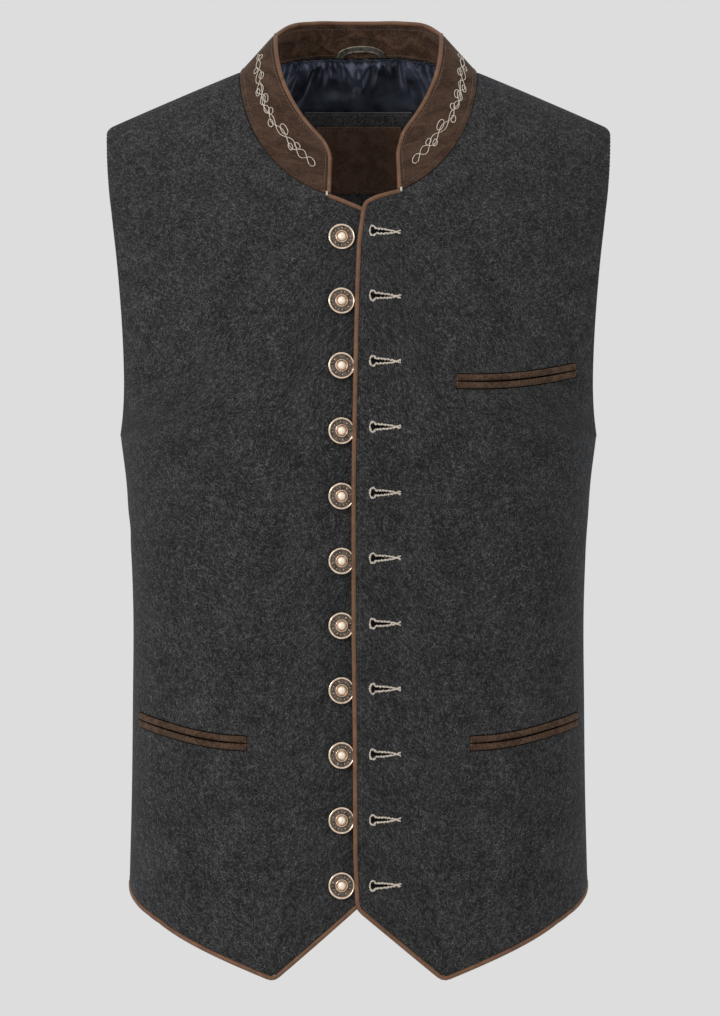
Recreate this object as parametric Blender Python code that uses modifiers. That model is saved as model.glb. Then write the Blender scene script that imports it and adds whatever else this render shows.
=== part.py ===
"""Men's folk vest in felted wool with a suede stand collar, hollow, as it is filled out when worn.

Every size below is in millimetres and MM turns it into Blender's metres. The front faces -Y, +X is
the wearer's left and +Z is up. The origin lies between the two high shoulder points.
"""

import bmesh
import bpy
import numpy as np
from mathutils import Matrix, Vector

MM = 0.001

# Cloth thicknesses and the gap that sewn pieces keep.
WOOL = 2.0
SATIN = 1.0
SUEDE = 1.2
LABEL = 1.0
PATCH = 1.5
SEAM_GAP = 0.3
PIPING_RADIUS = 1.5
EDGE_INSET = PIPING_RADIUS + SEAM_GAP
PIPING_STEP = 24.0
PIPING_CORNER = 5.0
COLLAR_PIPING_GAP = 0.15

# Levels of the garment.
CHEST_Z = -277.0
SIDE_HEM_Z = -611.0
TIP_Z = -676.0
NOTCH_Z = -623.0

# Neck and shoulders.
NECK_HALF_WIDTH = 90.0
NECK_FRONT_DROP = 103.0
NECK_BACK_DEPTH = 66.0
NECK_BACK_POWER = 1.7
SHOULDER_HALF_WIDTH = 192.5
SHOULDER_SLOPE = 0.45
RIDGE_ROUNDING = 45.0
BACK_RIDGE_RISE = 28.0
BACK_RIDGE_POWER = 1.3

# Superellipse powers of the form: round the body, and up over the shoulders.
PLAN_POWER = 2.6
RISE_POWER = {"front": 1.8, "back": 2.4}
RISE_SCALE = 300.0
ANGLE_STEP = 0.01

# Angles that leave half a seam's gap at the side seam, the shoulder seam and the neck seam.
SIDE_PLAN = np.pi / 2 - 0.0009
SHOULDER_RISE = np.pi / 2 - 0.002
EDGE_TRIM = 0.0008

# Outer size of the form at each level; above the chest the depths taper by RISE_POWER.
SECTION_COLUMNS = ("height", "half_width", "front_depth", "back_depth")
SECTIONS = (
    (-700.0, 174.0, 121.0, 117.0),
    (-613.0, 173.3, 120.0, 116.0),
    (-550.0, 171.8, 118.0, 111.0),
    (-480.0, 171.0, 116.0, 105.0),
    (-401.0, 170.8, 116.5, 103.0),
    (-340.0, 173.6, 120.5, 110.0),
    (-309.0, 176.0, 123.0, 117.5),
    (-277.0, 180.0, 124.0, 121.0),
    (-230.0, 184.0, 124.0, 121.0),
    (-160.0, 188.5, 124.0, 121.0),
    (-100.0, 191.5, 124.0, 121.0),
    (-42.0, 194.0, 124.0, 121.0),
    (60.0, 194.0, 124.0, 121.0),
)
WIDEST = 194.0

# Armhole edges, seen from the front, from the side seam up to the shoulder.
ARMHOLE_COLUMNS = ("height", "front_edge", "back_edge")
ARMHOLE = (
    (-275.2, 179.4, 179.5),
    (-269.5, 178.1, 178.4),
    (-259.5, 176.6, 177.3),
    (-244.0, 175.6, 176.7),
    (-224.0, 175.7, 176.7),
    (-200.0, 176.8, 177.6),
    (-173.0, 178.9, 179.0),
    (-143.0, 182.0, 181.5),
    (-112.0, 186.0, 185.0),
    (-82.0, 189.6, 189.0),
)

# The left front laps over the right one and over the rims of the buttons.
LAP_LIFT = 4.7
LAP_REACH = 36.0
LEFT_EDGE_X = -3.7
RIGHT_EDGE_X = 9.0
LEFT_COLLAR_END_X = 32.0
RIGHT_COLLAR_END_X = -23.5

# Collar.
COLLAR_TAPER = 0.72
COLLAR_TAPER_DEPTH = 0.74
COLLAR_CORNER = 9.0
COLLAR_SEAM_LIFT = 0.6
COLLAR_END_REACH = 12.0
COLLAR_END_PULL = 0.85
COLLAR_HEIGHT_COLUMNS = ("turn_from_centre_back", "rise")
COLLAR_HEIGHTS = (
    (0.0, 24.0),
    (20.0, 23.2),
    (45.0, 25.4),
    (68.0, 29.5),
    (90.0, 28.0),
    (112.0, 29.0),
    (135.0, 36.0),
    (180.0, 34.0),
)

# Buttons and buttonholes.
BUTTON_COUNT = 11
BUTTON_TOP_Z = -132.5
BUTTON_PITCH = 47.4
BUTTON_X = -12.4
BUTTON_TILT = np.radians(6.0)
BUTTON_STEPS = 12
BUTTON_PROFILE_COLUMNS = ("radius", "height")
BUTTON_PROFILE = (
    (0.0, 0.3),
    (2.2, 0.3),
    (2.2, 1.5),
    (9.5, 1.5),
    (9.9, 2.2),
    (8.6, 2.8),
    (7.6, 2.2),
    (4.8, 2.2),
    (4.2, 2.9),
    (3.0, 3.4),
    (0.0, 4.6),
)
BUTTONHOLE_TOP_Z = -128.5
BUTTONHOLE_PITCH = 47.8
BUTTONHOLE_LEFT_X = 9.5
BUTTONHOLE_LENGTH = 20.5
BUTTONHOLE_WIDTH = 2.0
BUTTONHOLE_CUT = 16.0

# Pockets: the slit's middle line on the wearer's left side, seen from the front.
POCKET_COLUMNS = ("across", "height")
CHEST_POCKET = (
    (71.0, -238.4),
    (93.0, -238.4),
    (115.5, -237.0),
    (139.0, -233.6),
    (160.5, -229.0),
)
HIP_POCKET = (
    (81.5, -503.5),
    (101.0, -502.4),
    (121.5, -499.3),
    (146.0, -493.5),
    (160.0, -489.6),
    (167.0, -487.2),
)
WELT_HEIGHT = 5.2
WELT_THICKNESS = 1.7
WELT_BASE = 0.6
WELT_COLUMNS = 12
WELT_SHAPE_COLUMNS = ("share_of_height", "share_of_thickness")
WELT_SHAPE = ((0.0, 0.75), (0.2, 0.97), (0.5, 1.0), (0.8, 0.97), (1.0, 0.6))

# Inside of the back.
LINING_FOLDS = 3
LINING_GATHERED_CELLS = 3
GATHER_DEPTH = 1.3
LINING_CLEARANCE = 0.9
GATHER_END_Z = -22.0
GATHER_FADE = 20.0
GATHER_SIDE_FADE = 1.5
PATCH_CLEARANCE = 0.4
LINING_DEPTH = WOOL + SEAM_GAP + LINING_CLEARANCE + SATIN + GATHER_DEPTH + PATCH_CLEARANCE
PATCH_HALF_WIDTH = 44.0
PATCH_TOP_Z = -20.0
PATCH_BOTTOM_Z = -106.0
LABEL_HALF_WIDTH = 35.0
LABEL_TOP_Z = -31.0
LABEL_BOTTOM_Z = -83.0
PATCH_GRID = (6, 11)

# Hanger loop: a flat arched bar on the facing.
LOOP_X = 2.2
LOOP_HALF_WIDTH = 19.6
LOOP_RISE = 11.8
LOOP_BAR = 5.4
LOOP_THICKNESS = 1.6
LOOP_FOOT = 0.8
LOOP_POINTS = 15

# Grids of points: cells and rows of the fronts, the back and the collar.
FRONT_COLUMNS = 14
TIP_CELLS = 5
ROWS_BELOW = 14
EDGE_CELLS = 6
NECK_EDGE_CELLS = 2
NECK_POINTS = 9
BACK_HALF_COLUMNS = 11
BACK_NECK_CELLS = 6
BACK_ROWS_BELOW = 10
BACK_ROWS_ABOVE = 9
COLLAR_ROWS = 4
ARMHOLE_CROWDING = 1.35


def column(table, columns, name, at):
    """Smooth reading of one named column of a table against its first column."""
    rows = np.array(table)
    keys = rows[:, 0]
    values = rows[:, columns.index(name)]
    slopes = np.gradient(values, keys)
    at = np.clip(at, keys[0], keys[-1])
    low = np.clip(np.searchsorted(keys, at, side="right") - 1, 0, len(keys) - 2)
    span = keys[low + 1] - keys[low]
    t = (at - keys[low]) / span
    start = (2 * t**3 - 3 * t**2 + 1) * values[low] + (t**3 - 2 * t**2 + t) * span * slopes[low]
    end = (3 * t**2 - 2 * t**3) * values[low + 1] + (t**3 - t**2) * span * slopes[low + 1]
    return start + end


def superellipse(angle, power):
    """Sine-like and cosine-like sides of a unit superellipse at an angle."""
    sine = np.sin(angle)
    cosine = np.cos(angle)
    reach = (np.abs(sine) ** power + np.abs(cosine) ** power) ** (-1.0 / power)
    return sine * reach, cosine * reach


def ridge_height(half, x):
    """Height of the line over the shoulders, which runs on inside the neck."""
    rounded = np.hypot(x, RIDGE_ROUNDING) - np.hypot(NECK_HALF_WIDTH, RIDGE_ROUNDING) + NECK_HALF_WIDTH
    line = SHOULDER_SLOPE * (NECK_HALF_WIDTH - rounded)
    if half == "front":
        return line
    inside = np.clip(1.0 - (x / NECK_HALF_WIDTH) ** 2, 0.0, 1.0)
    return line + BACK_RIDGE_RISE * inside**BACK_RIDGE_POWER


def nominal_height(rise_sine):
    """Height that the width is read at, above the chest."""
    shoulder = ridge_height("front", SHOULDER_HALF_WIDTH)
    return CHEST_Z + (shoulder - CHEST_Z) * rise_sine


def skin(half, plan, rise):
    """Outer surface of the form at a plan angle from the middle and a rise from the chest."""
    plan = np.asarray(plan, float)
    rise = np.asarray(rise, float)
    across, depth_share = superellipse(plan, PLAN_POWER)
    rise_sine, rise_cosine = superellipse(np.clip(rise, 0.0, np.pi / 2), RISE_POWER[half])
    below = CHEST_Z + RISE_SCALE * np.minimum(rise, 0.0)
    level = np.where(rise < 0, below, nominal_height(rise_sine))
    x = across * column(SECTIONS, SECTION_COLUMNS, "half_width", level)
    depth = column(SECTIONS, SECTION_COLUMNS, half + "_depth", level)
    above = CHEST_Z + (ridge_height(half, x) - CHEST_Z) * rise_sine
    z = np.where(rise < 0, below, above)
    towards = -1.0 if half == "front" else 1.0
    y = towards * depth * depth_share * np.where(rise < 0, 1.0, rise_cosine)
    return np.stack([x, y, z], axis=-1)


def outward(half, plan, rise):
    """Unit normal of the form, shared by the pieces on both sides of a seam."""
    step = ANGLE_STEP
    plan = np.asarray(plan, float)
    rise = np.asarray(rise, float)
    limit = np.pi / 2
    before = skin(half, np.maximum(plan - step, -limit), rise)
    round_body = skin(half, np.minimum(plan + step, limit), rise) - before
    upwards = skin(half, plan, np.minimum(rise + step, limit)) - skin(half, plan, rise - step)
    normal = np.cross(round_body, upwards)
    if half == "back":
        normal = -normal
    at_side = np.abs(plan) > limit - step
    at_ridge = rise > limit - step
    normal[..., 1] = np.where(at_side | at_ridge, 0.0, normal[..., 1])
    return normal / np.linalg.norm(normal, axis=-1, keepdims=True)


def find(half, x, z):
    """Plan angle and rise of the point that shows at x and z from the front or the back."""
    x = np.asarray(x, float)
    z = np.asarray(z, float)
    power = RISE_POWER[half]
    share = np.clip((z - CHEST_Z) / (ridge_height(half, np.minimum(np.abs(x), WIDEST)) - CHEST_Z), 0.0, 1.0)
    rise_up = np.arctan2(share, (1.0 - share**power) ** (1.0 / power))
    rise = np.where(z < CHEST_Z, (z - CHEST_Z) / RISE_SCALE, rise_up)
    level = np.where(z < CHEST_Z, z, nominal_height(share))
    across = np.clip(np.abs(x) / column(SECTIONS, SECTION_COLUMNS, "half_width", level), 0.0, 1.0)
    plan = np.arctan2(across, (1.0 - across**PLAN_POWER) ** (1.0 / PLAN_POWER))
    return np.stack([np.sign(x) * plan, rise], axis=-1)


def on_form(half, spots, out):
    """Points of the form at an array of plan and rise pairs, moved out along the normal."""
    spots = np.asarray(spots, float)
    out = np.broadcast_to(np.asarray(out, float), spots.shape[:-1])
    plan = spots[..., 0]
    rise = spots[..., 1]
    return skin(half, plan, rise) + out[..., None] * outward(half, plan, rise)


def even(count):
    """Shares from 0 to 1, evenly spaced."""
    return np.linspace(0.0, 1.0, count)


def smoothstep(t):
    t = np.clip(t, 0.0, 1.0)
    return t * t * (3.0 - 2.0 * t)


def lap_lift(x):
    """How far the left front stands off the form near its edge."""
    return LAP_LIFT * (1.0 - smoothstep((x - LEFT_EDGE_X) / LAP_REACH))


def resample(points, shares):
    """Points along a polyline at the given shares of its length."""
    points = np.asarray(points, float)
    steps = np.linalg.norm(np.diff(points, axis=0), axis=1)
    travelled = np.concatenate([[0.0], np.cumsum(steps)])
    return np.stack([np.interp(shares * travelled[-1], travelled, side) for side in points.T], axis=-1)


def smooth_through(points, shares):
    """Points at shares of the length of a smooth curve through a few points."""
    points = np.asarray(points, float)
    keys = np.arange(len(points), dtype=float)
    at = np.linspace(0.0, keys[-1], 16 * len(points))
    names = ("key", "first", "second")
    table = np.column_stack([keys, points])
    curve = np.stack([column(table, names, name, at) for name in names[1:]], axis=-1)
    return resample(curve, shares)


def rounded(corners, radius, steps=4):
    """A polyline whose inner corners are rounded off by short curves."""
    corners = np.asarray(corners, float)
    points = [corners[0]]
    for before, corner, after in zip(corners, corners[1:], corners[2:]):
        to_before = before - corner
        to_after = after - corner
        cut = min(radius, 0.45 * np.linalg.norm(to_before), 0.45 * np.linalg.norm(to_after))
        start = corner + cut * to_before / np.linalg.norm(to_before)
        end = corner + cut * to_after / np.linalg.norm(to_after)
        for t in np.linspace(0.0, 1.0, steps):
            points.append((1 - t) ** 2 * start + 2 * t * (1 - t) * corner + t**2 * end)
    points.append(corners[-1])
    return np.array(points)


def inset(path, distance):
    """A path in the front view moved sideways, to the left of its direction."""
    path = np.asarray(path, float)
    along = np.gradient(path, axis=0)
    along /= np.linalg.norm(along, axis=1, keepdims=True)
    return path + distance * np.column_stack([-along[:, 1], along[:, 0]])


def coons(bottom, top, left, right):
    """Grid between four edges, rows from bottom to top."""
    u = np.linspace(0.0, 1.0, len(bottom))[None, :, None]
    v = np.linspace(0.0, 1.0, len(left))[:, None, None]
    between = (1 - v) * bottom[None] + v * top[None] + (1 - u) * left[:, None] + u * right[:, None]
    corners = (1 - u) * (1 - v) * bottom[0] + u * (1 - v) * bottom[-1]
    corners = corners + (1 - u) * v * top[0] + u * v * top[-1]
    return between - corners


def neck_spot_front(turn):
    """Front neck seam: an ellipse seen from the front, from the high shoulder point at 0."""
    x = NECK_HALF_WIDTH * np.cos(turn)
    z = -NECK_FRONT_DROP * np.sin(turn)
    return find("front", x, z)


def neck_spot_back(turn):
    """Back neck seam: an oval seen from above, from the high shoulder point at 0."""
    x, depth = superellipse(np.pi / 2 - turn, NECK_BACK_POWER)
    x = np.clip(x, 0.0, 1.0) * NECK_HALF_WIDTH
    y = depth * NECK_BACK_DEPTH
    level_depth = column(SECTIONS, SECTION_COLUMNS, "back_depth", 0.0)
    across = x / column(SECTIONS, SECTION_COLUMNS, "half_width", 0.0)
    share = (1.0 - across**PLAN_POWER) ** (1.0 / PLAN_POWER)
    power = RISE_POWER["back"]
    cosine = np.clip(y / (level_depth * share), 0.0, 1.0)
    rise = np.arctan2((1.0 - cosine**power) ** (1.0 / power), cosine)
    return np.stack([np.arctan2(across, share), rise], axis=-1)


def even_turns(neck_spot, half, start, count):
    """Turns along a neck seam, down to the shoulder, that lie evenly on the form."""
    turns = np.linspace(start, 0.0, 120)
    spots = neck_spot(turns)
    points = skin(half, spots[:, 0], spots[:, 1])
    travelled = np.concatenate([[0.0], np.cumsum(np.linalg.norm(np.diff(points, axis=0), axis=1))])
    return np.interp(np.linspace(0.0, travelled[-1], count), travelled, turns)


def front_edge_corners(side):
    """Corners of a front's piping in the front view, from the collar's end to near the side seam."""
    if side > 0:
        neck = [(28.2, -97.6), (14.0, -102.0), (5.2, -107.2)]
        edge = [(3.4, -113.0), (0.2, -138.0), (-1.0, -170.0), (-2.4, -232.0), (LEFT_EDGE_X, -310.0)]
        edge += [(LEFT_EDGE_X, -420.0), (-2.8, -500.0), (-2.4, -585.0)]
        notch = [(-0.9, NOTCH_Z)]
    else:
        neck = [(-19.8, -101.4), (-1.0, -109.0), (8.0, -113.4)]
        edge = [(RIGHT_EDGE_X, -119.0), (RIGHT_EDGE_X, NOTCH_Z + 16.0)]
        notch = [(RIGHT_EDGE_X - 1.0, NOTCH_Z + 9.0)]
    hem = [(side * x, z) for x, z in ((62.5, TIP_Z), (152.0, -635.0), (168.0, -624.0))]
    return neck, edge, notch, hem


def front_edge_spots(side, distance):
    """Spots along a front's neck, front edge and hem, in those three runs, moved in by a distance."""
    neck, edge, notch, hem = front_edge_corners(side)
    path = rounded(neck + edge + notch + hem, PIPING_CORNER)
    moved = inset(path, side * distance)
    top = int(np.argmin(np.hypot(*(path - 0.5 * (np.array(neck[-1]) + edge[0])).T)))
    bottom = int(np.argmin(np.hypot(*(path - notch[0]).T)))
    spots = find("front", moved[:, 0], moved[:, 1])
    end = np.array([side * SIDE_PLAN, (SIDE_HEM_Z + distance - CHEST_Z) / RISE_SCALE])
    round_side = spots[-1] + (end - spots[-1]) * np.linspace(0.0, 1.0, 6)[1:, None]
    return spots[: top + 1], spots[top : bottom + 1], np.vstack([spots[bottom:], round_side])


def subdivided(spots, longest):
    """Spots on the front with more between them, so that no step is longer than given."""
    made = [spots[0]]
    for start, end in zip(spots, spots[1:]):
        step = np.linalg.norm(skin("front", *start) - skin("front", *end))
        shares = np.linspace(0.0, 1.0, int(np.ceil(step / longest)) + 1)[1:]
        made.extend(start + (end - start) * share for share in shares)
    return np.array(made)


def side_and_armhole(half, edge_name, side, below, above, hem_z):
    """Spots up the side seam and round the armhole to the shoulder's end."""
    levels = np.linspace(hem_z, CHEST_Z, below)
    seam = np.column_stack([np.full(below, side * SIDE_PLAN), (levels - CHEST_Z) / RISE_SCALE])
    rows = np.array(ARMHOLE)
    edges = rows[:, ARMHOLE_COLUMNS.index(edge_name)]
    middle = find(half, side * edges, rows[:, 0])
    end = find(half, side * SHOULDER_HALF_WIDTH, 0.0)
    end[1] = SHOULDER_RISE
    hole = smooth_through(np.vstack([seam[-1:], middle, end[None]]), armhole_shares(above))
    return np.vstack([seam, hole[1:]])


def armhole_shares(cells):
    """Shares of the way up an armhole, closer together round its base."""
    return even(cells + 1) ** ARMHOLE_CROWDING


def shoulder_spots(half, side, count):
    x = side * np.linspace(NECK_HALF_WIDTH, SHOULDER_HALF_WIDTH, count)
    spots = find(half, x, np.zeros(count))
    spots[:, 1] = SHOULDER_RISE
    return spots


def front_grid(side):
    """Grid of spots for one front: columns from its free edge to the side, rows from hem to shoulder."""
    neck, edge, hem = front_edge_spots(side, EDGE_INSET)
    seam = neck_spot_front(front_neck_turns(side)) * (side, 1.0)
    seam[:, 1] -= EDGE_TRIM
    edge = edge[::-1]
    share_below = (0.0 - edge[0, 1]) / (edge[-1, 1] - edge[0, 1])
    below = np.linspace(0.0, share_below, ROWS_BELOW)
    above = np.linspace(share_below, 1.0, EDGE_CELLS + 1)[1:]
    up_edge = resample(edge, np.concatenate([below, above]))
    left = np.vstack([up_edge, resample(neck[::-1], even(NECK_EDGE_CELLS + 1))[1:], seam])
    rows_above = len(left) - ROWS_BELOW
    tip = int(np.argmin(hem[:, 1]))
    near = resample(hem[: tip + 1], even(TIP_CELLS + 1))
    bottom = np.vstack([near, resample(hem[tip:], even(FRONT_COLUMNS - TIP_CELLS))[1:]])
    top = shoulder_spots("front", side, FRONT_COLUMNS)
    right = side_and_armhole("front", "front_edge", side, ROWS_BELOW, rows_above, SIDE_HEM_Z + EDGE_INSET)
    left[-1] = top[0]
    return coons(bottom, top, left, right)


def back_grid():
    """Grid of spots for the back, from the wearer's right side to the left."""
    seam = neck_spot_back(even_turns(neck_spot_back, "back", np.pi / 2, BACK_NECK_CELLS))
    seam[:, 1] -= EDGE_TRIM
    shoulder = shoulder_spots("back", 1, BACK_HALF_COLUMNS - BACK_NECK_CELLS + 1)
    top = np.vstack([seam, shoulder[1:]])
    right = side_and_armhole("back", "back_edge", 1, BACK_ROWS_BELOW, BACK_ROWS_ABOVE, SIDE_HEM_Z)
    below = np.linspace(right[0, 1], 0.0, BACK_ROWS_BELOW)
    above = top[0, 1] * armhole_shares(BACK_ROWS_ABOVE)[1:]
    middle = np.concatenate([below, above])
    left = np.column_stack([np.zeros(len(middle)), middle])
    across = np.linspace(0.0, 1.0, BACK_HALF_COLUMNS)[None, :, None]
    straight = (1 - across) * left[:, None] + across * right[:, None]
    towards_top = np.clip(middle / middle[-1], 0.0, 1.0)[:, None, None] ** 2
    half = straight + towards_top * (top[None] - straight[-1:])
    mirrored = half[:, :0:-1] * (-1.0, 1.0)
    return np.concatenate([mirrored, half], axis=1)


def collar_rings():
    """Seam points, normals and lengths run, from the wearer's right end round the back to the left end.

    They are the panels' own neck points with one more between each pair, so that the edges agree.
    """
    back = even_turns(neck_spot_back, "back", np.pi / 2, BACK_NECK_CELLS)
    parts = []
    normals = []
    for side, half, turns in (
        (-1, "front", front_neck_turns(-1)),
        (-1, "back", back[-2::-1]),
        (1, "back", back[1:]),
        (1, "front", front_neck_turns(1)[-2::-1]),
    ):
        spots = (neck_spot_front(turns) if half == "front" else neck_spot_back(turns)) * (side, 1.0)
        parts.append(skin(half, spots[:, 0], spots[:, 1]))
        normals.append(outward(half, spots[:, 0], spots[:, 1]))
    seam = finer_ends(with_middles(np.vstack(parts)))
    normal = finer_ends(with_middles(np.vstack(normals)))
    normal /= np.linalg.norm(normal, axis=1, keepdims=True)
    travelled = np.concatenate([[0.0], np.cumsum(np.linalg.norm(np.diff(seam, axis=0), axis=1))])
    return seam, normal, travelled, travelled[-1]


def with_middles(points):
    """The same points with the middle of each step between them."""
    made = np.empty((2 * len(points) - 1, points.shape[1]))
    made[0::2] = points
    made[1::2] = 0.5 * (points[1:] + points[:-1])
    return made


def finer_ends(points):
    """The same points with the first and the last step cut in three."""
    thirds = np.array([1.0 / 3.0, 2.0 / 3.0])[:, None]
    first = points[0] + (points[1] - points[0]) * thirds
    last = points[-2] + (points[-1] - points[-2]) * thirds
    return np.vstack([points[:1], first, points[1:-1], last, points[-1:]])


def front_neck_turns(side):
    """Turns of a front's neck seam, from the collar's end to the shoulder."""
    end = LEFT_COLLAR_END_X if side > 0 else -RIGHT_COLLAR_END_X
    start = np.arccos(end / NECK_HALF_WIDTH)
    return even_turns(neck_spot_front, "front", start, NECK_POINTS)


def collar_top(seam):
    """Top ring of the collar, drawn in towards the neck and raised."""
    turn = np.degrees(np.arctan2(np.abs(seam[:, 0]), seam[:, 1]))
    rise = column(COLLAR_HEIGHTS, COLLAR_HEIGHT_COLUMNS, "rise", turn)
    x = seam[:, 0]
    end = np.where(x < 0, RIGHT_COLLAR_END_X, LEFT_COLLAR_END_X)
    closeness = np.exp(-(((x - end) / COLLAR_END_REACH) ** 2)) * (seam[:, 1] < 0)
    top_x = COLLAR_TAPER * x + (1 - COLLAR_TAPER) * COLLAR_END_PULL * closeness * end
    return np.column_stack([top_x, COLLAR_TAPER_DEPTH * seam[:, 1], seam[:, 2] + rise])


def collar_surface(share_up, seam, normal, top, travelled, length, out):
    """One row of the collar: a share of the way up, moved out by a distance."""
    from_end = np.minimum(travelled, length - travelled)
    corner = np.clip(1.0 - from_end / COLLAR_CORNER, 0.0, 1.0)
    lowered = COLLAR_CORNER * (1.0 - np.sqrt(1.0 - corner**2))
    height = np.linalg.norm(top - seam, axis=1)
    share = share_up * (height - lowered) / height
    share = share + (1.0 - share_up) * COLLAR_SEAM_LIFT / height
    up = top - seam
    along = np.gradient(seam, axis=0)
    lean = np.cross(along, up)
    lean /= np.linalg.norm(lean, axis=1, keepdims=True)
    lean *= np.sign(np.sum(lean * normal, axis=1, keepdims=True))
    turn = smoothstep(share_up / 0.5)
    facing = (1 - turn) * normal + turn * lean
    facing /= np.linalg.norm(facing, axis=1, keepdims=True)
    return seam + share[:, None] * up + out * facing


def collection(name):
    made = bpy.data.collections.new(name)
    bpy.context.scene.collection.children.link(made)
    return made


def material(name, colour, roughness, metallic=0.0):
    made = bpy.data.materials.new(name)
    made.use_nodes = True
    shader = made.node_tree.nodes["Principled BSDF"]
    shader.inputs["Base Color"].default_value = (*colour, 1.0)
    shader.inputs["Roughness"].default_value = roughness
    shader.inputs["Metallic"].default_value = metallic
    made.diffuse_color = (*colour, 1.0)
    return made


def add_object(name, data, surface, group):
    made = bpy.data.objects.new(name, data)
    group.objects.link(made)
    if surface is not None:
        made.data.materials.append(surface)
    return made


def wall(name, outer, inner, surface, group):
    """A closed cloth wall between an outer and an inner grid of points."""
    rows, columns, _ = outer.shape
    mesh = bmesh.new()
    sheets = []
    for grid in (outer, inner):
        sheets.append([[mesh.verts.new(Vector(point) * MM) for point in row] for row in grid])
    for sheet in sheets:
        for r in range(rows - 1):
            for c in range(columns - 1):
                mesh.faces.new((sheet[r][c], sheet[r][c + 1], sheet[r + 1][c + 1]))
                mesh.faces.new((sheet[r][c], sheet[r + 1][c + 1], sheet[r + 1][c]))
    rim = [(0, c) for c in range(columns)]
    rim += [(r, columns - 1) for r in range(1, rows)]
    rim += [(rows - 1, c) for c in range(columns - 2, -1, -1)]
    rim += [(r, 0) for r in range(rows - 2, 0, -1)]
    outside, inside = sheets
    for (r, c), (next_r, next_c) in zip(rim, rim[1:] + rim[:1]):
        mesh.faces.new((outside[r][c], outside[next_r][next_c], inside[next_r][next_c], inside[r][c]))
    bmesh.ops.recalc_face_normals(mesh, faces=mesh.faces)
    data = bpy.data.meshes.new(name)
    mesh.to_mesh(data)
    mesh.free()
    return add_object(name, data, surface, group)


def tube(name, points, radius, surface, group):
    """A piping cord: a poly curve with a round bevel and filled caps."""
    data = bpy.data.curves.new(name, "CURVE")
    data.dimensions = "3D"
    data.bevel_depth = radius * MM
    data.bevel_resolution = 2
    data.use_fill_caps = True
    spline = data.splines.new("POLY")
    spline.points.add(len(points) - 1)
    for spot, point in zip(spline.points, points):
        spot.co = (*(np.asarray(point) * MM), 1.0)
    return add_object(name, data, surface, group)


def build_fronts(wool, group):
    left = front_grid(1)
    lift = lap_lift(skin("front", left[..., 0], left[..., 1])[..., 0])
    fronts = {"front_left": (left, lift), "front_right": (front_grid(-1), 0.0)}
    made = {}
    for name, (spots, out) in fronts.items():
        outer = on_form("front", spots, out)
        inner = on_form("front", spots, out - WOOL)
        made[name] = wall(name, outer, inner, wool, group)
    return made


def build_back(wool, satin, group):
    spots = back_grid()
    base = on_form("back", spots, 0.0)
    normal = outward("back", spots[..., 0], spots[..., 1])
    wall("back", base, base - WOOL * normal, wool, group)
    centre = BACK_HALF_COLUMNS - 1
    keys = np.arange(2 * centre + 1, dtype=float)
    gathered = np.linspace(-LINING_GATHERED_CELLS, LINING_GATHERED_CELLS, 2 * LINING_FOLDS * 4 + 1)
    plain = np.setdiff1d(keys - centre, np.arange(-LINING_GATHERED_CELLS, LINING_GATHERED_CELLS + 1))
    at = np.sort(np.concatenate([gathered, plain])) + centre
    base = across_columns(base, keys, at)
    normal = across_columns(normal, keys, at)
    fade_down = smoothstep((base[..., 2] - GATHER_END_Z) / GATHER_FADE)
    fade_sides = smoothstep((LINING_GATHERED_CELLS - np.abs(at - centre)) / GATHER_SIDE_FADE)
    folds = 0.5 - 0.5 * np.cos(np.pi * LINING_FOLDS * (at - centre) / LINING_GATHERED_CELLS)
    clearance = LINING_CLEARANCE * np.clip(LINING_GATHERED_CELLS + 1.0 - np.abs(at - centre), 0.0, 1.0)
    out = -WOOL - SEAM_GAP - clearance - GATHER_DEPTH * fade_down * fade_sides * folds
    outer = base + out[..., None] * normal
    wall("back_lining", outer, outer - SATIN * normal, satin, group)


def across_columns(grid, keys, at):
    """A grid of points read between its own columns, in straight steps."""
    return np.stack([
        np.stack([np.interp(at, keys, row[:, axis]) for axis in range(3)], axis=-1) for row in grid
    ])


def build_collar(suede, leather, group):
    seam, normal, travelled, length = collar_rings()
    top = collar_top(seam)
    ring = (seam, normal, top, travelled, length)
    shares = even(COLLAR_ROWS)
    facing_out = -SUEDE - SEAM_GAP
    for name, out in (("collar_outer", 0.0), ("collar_facing", facing_out)):
        outer = np.stack([collar_surface(share, *ring, out) for share in shares])
        inner = np.stack([collar_surface(share, *ring, out - SUEDE) for share in shares])
        wall(name, outer, inner, suede, group)
    middle = -SUEDE - SEAM_GAP / 2
    grid = np.stack([collar_surface(share, *ring, middle) for share in shares])
    outwards = np.stack([collar_surface(share, *ring, middle + 1.0) for share in shares]) - grid
    edge = np.vstack([grid[:-1, 0], grid[-1], grid[-2::-1, -1]])
    facing = np.vstack([outwards[:-1, 0], outwards[-1], outwards[-2::-1, -1]])
    along = np.gradient(edge, axis=0)
    away = np.cross(facing, along)
    away /= np.linalg.norm(away, axis=1, keepdims=True)
    away *= np.sign(np.sum(away[len(away) // 2] * (0.0, 0.0, 1.0)))
    tube("piping_collar", edge + (EDGE_INSET + COLLAR_PIPING_GAP) * away, PIPING_RADIUS, leather, group)
    return ring


def build_edge_piping(leather, group):
    for name, side in (("piping_front_left", 1), ("piping_front_right", -1)):
        neck, edge, hem = front_edge_spots(side, 0.0)
        spots = subdivided(np.vstack([neck, edge[1:], hem[1:-1]]), PIPING_STEP)
        x = skin("front", spots[:, 0], spots[:, 1])[:, 0]
        lift = lap_lift(x) if side > 0 else 0.0
        tube(name, on_form("front", spots, lift - WOOL / 2), PIPING_RADIUS, leather, group)


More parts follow.
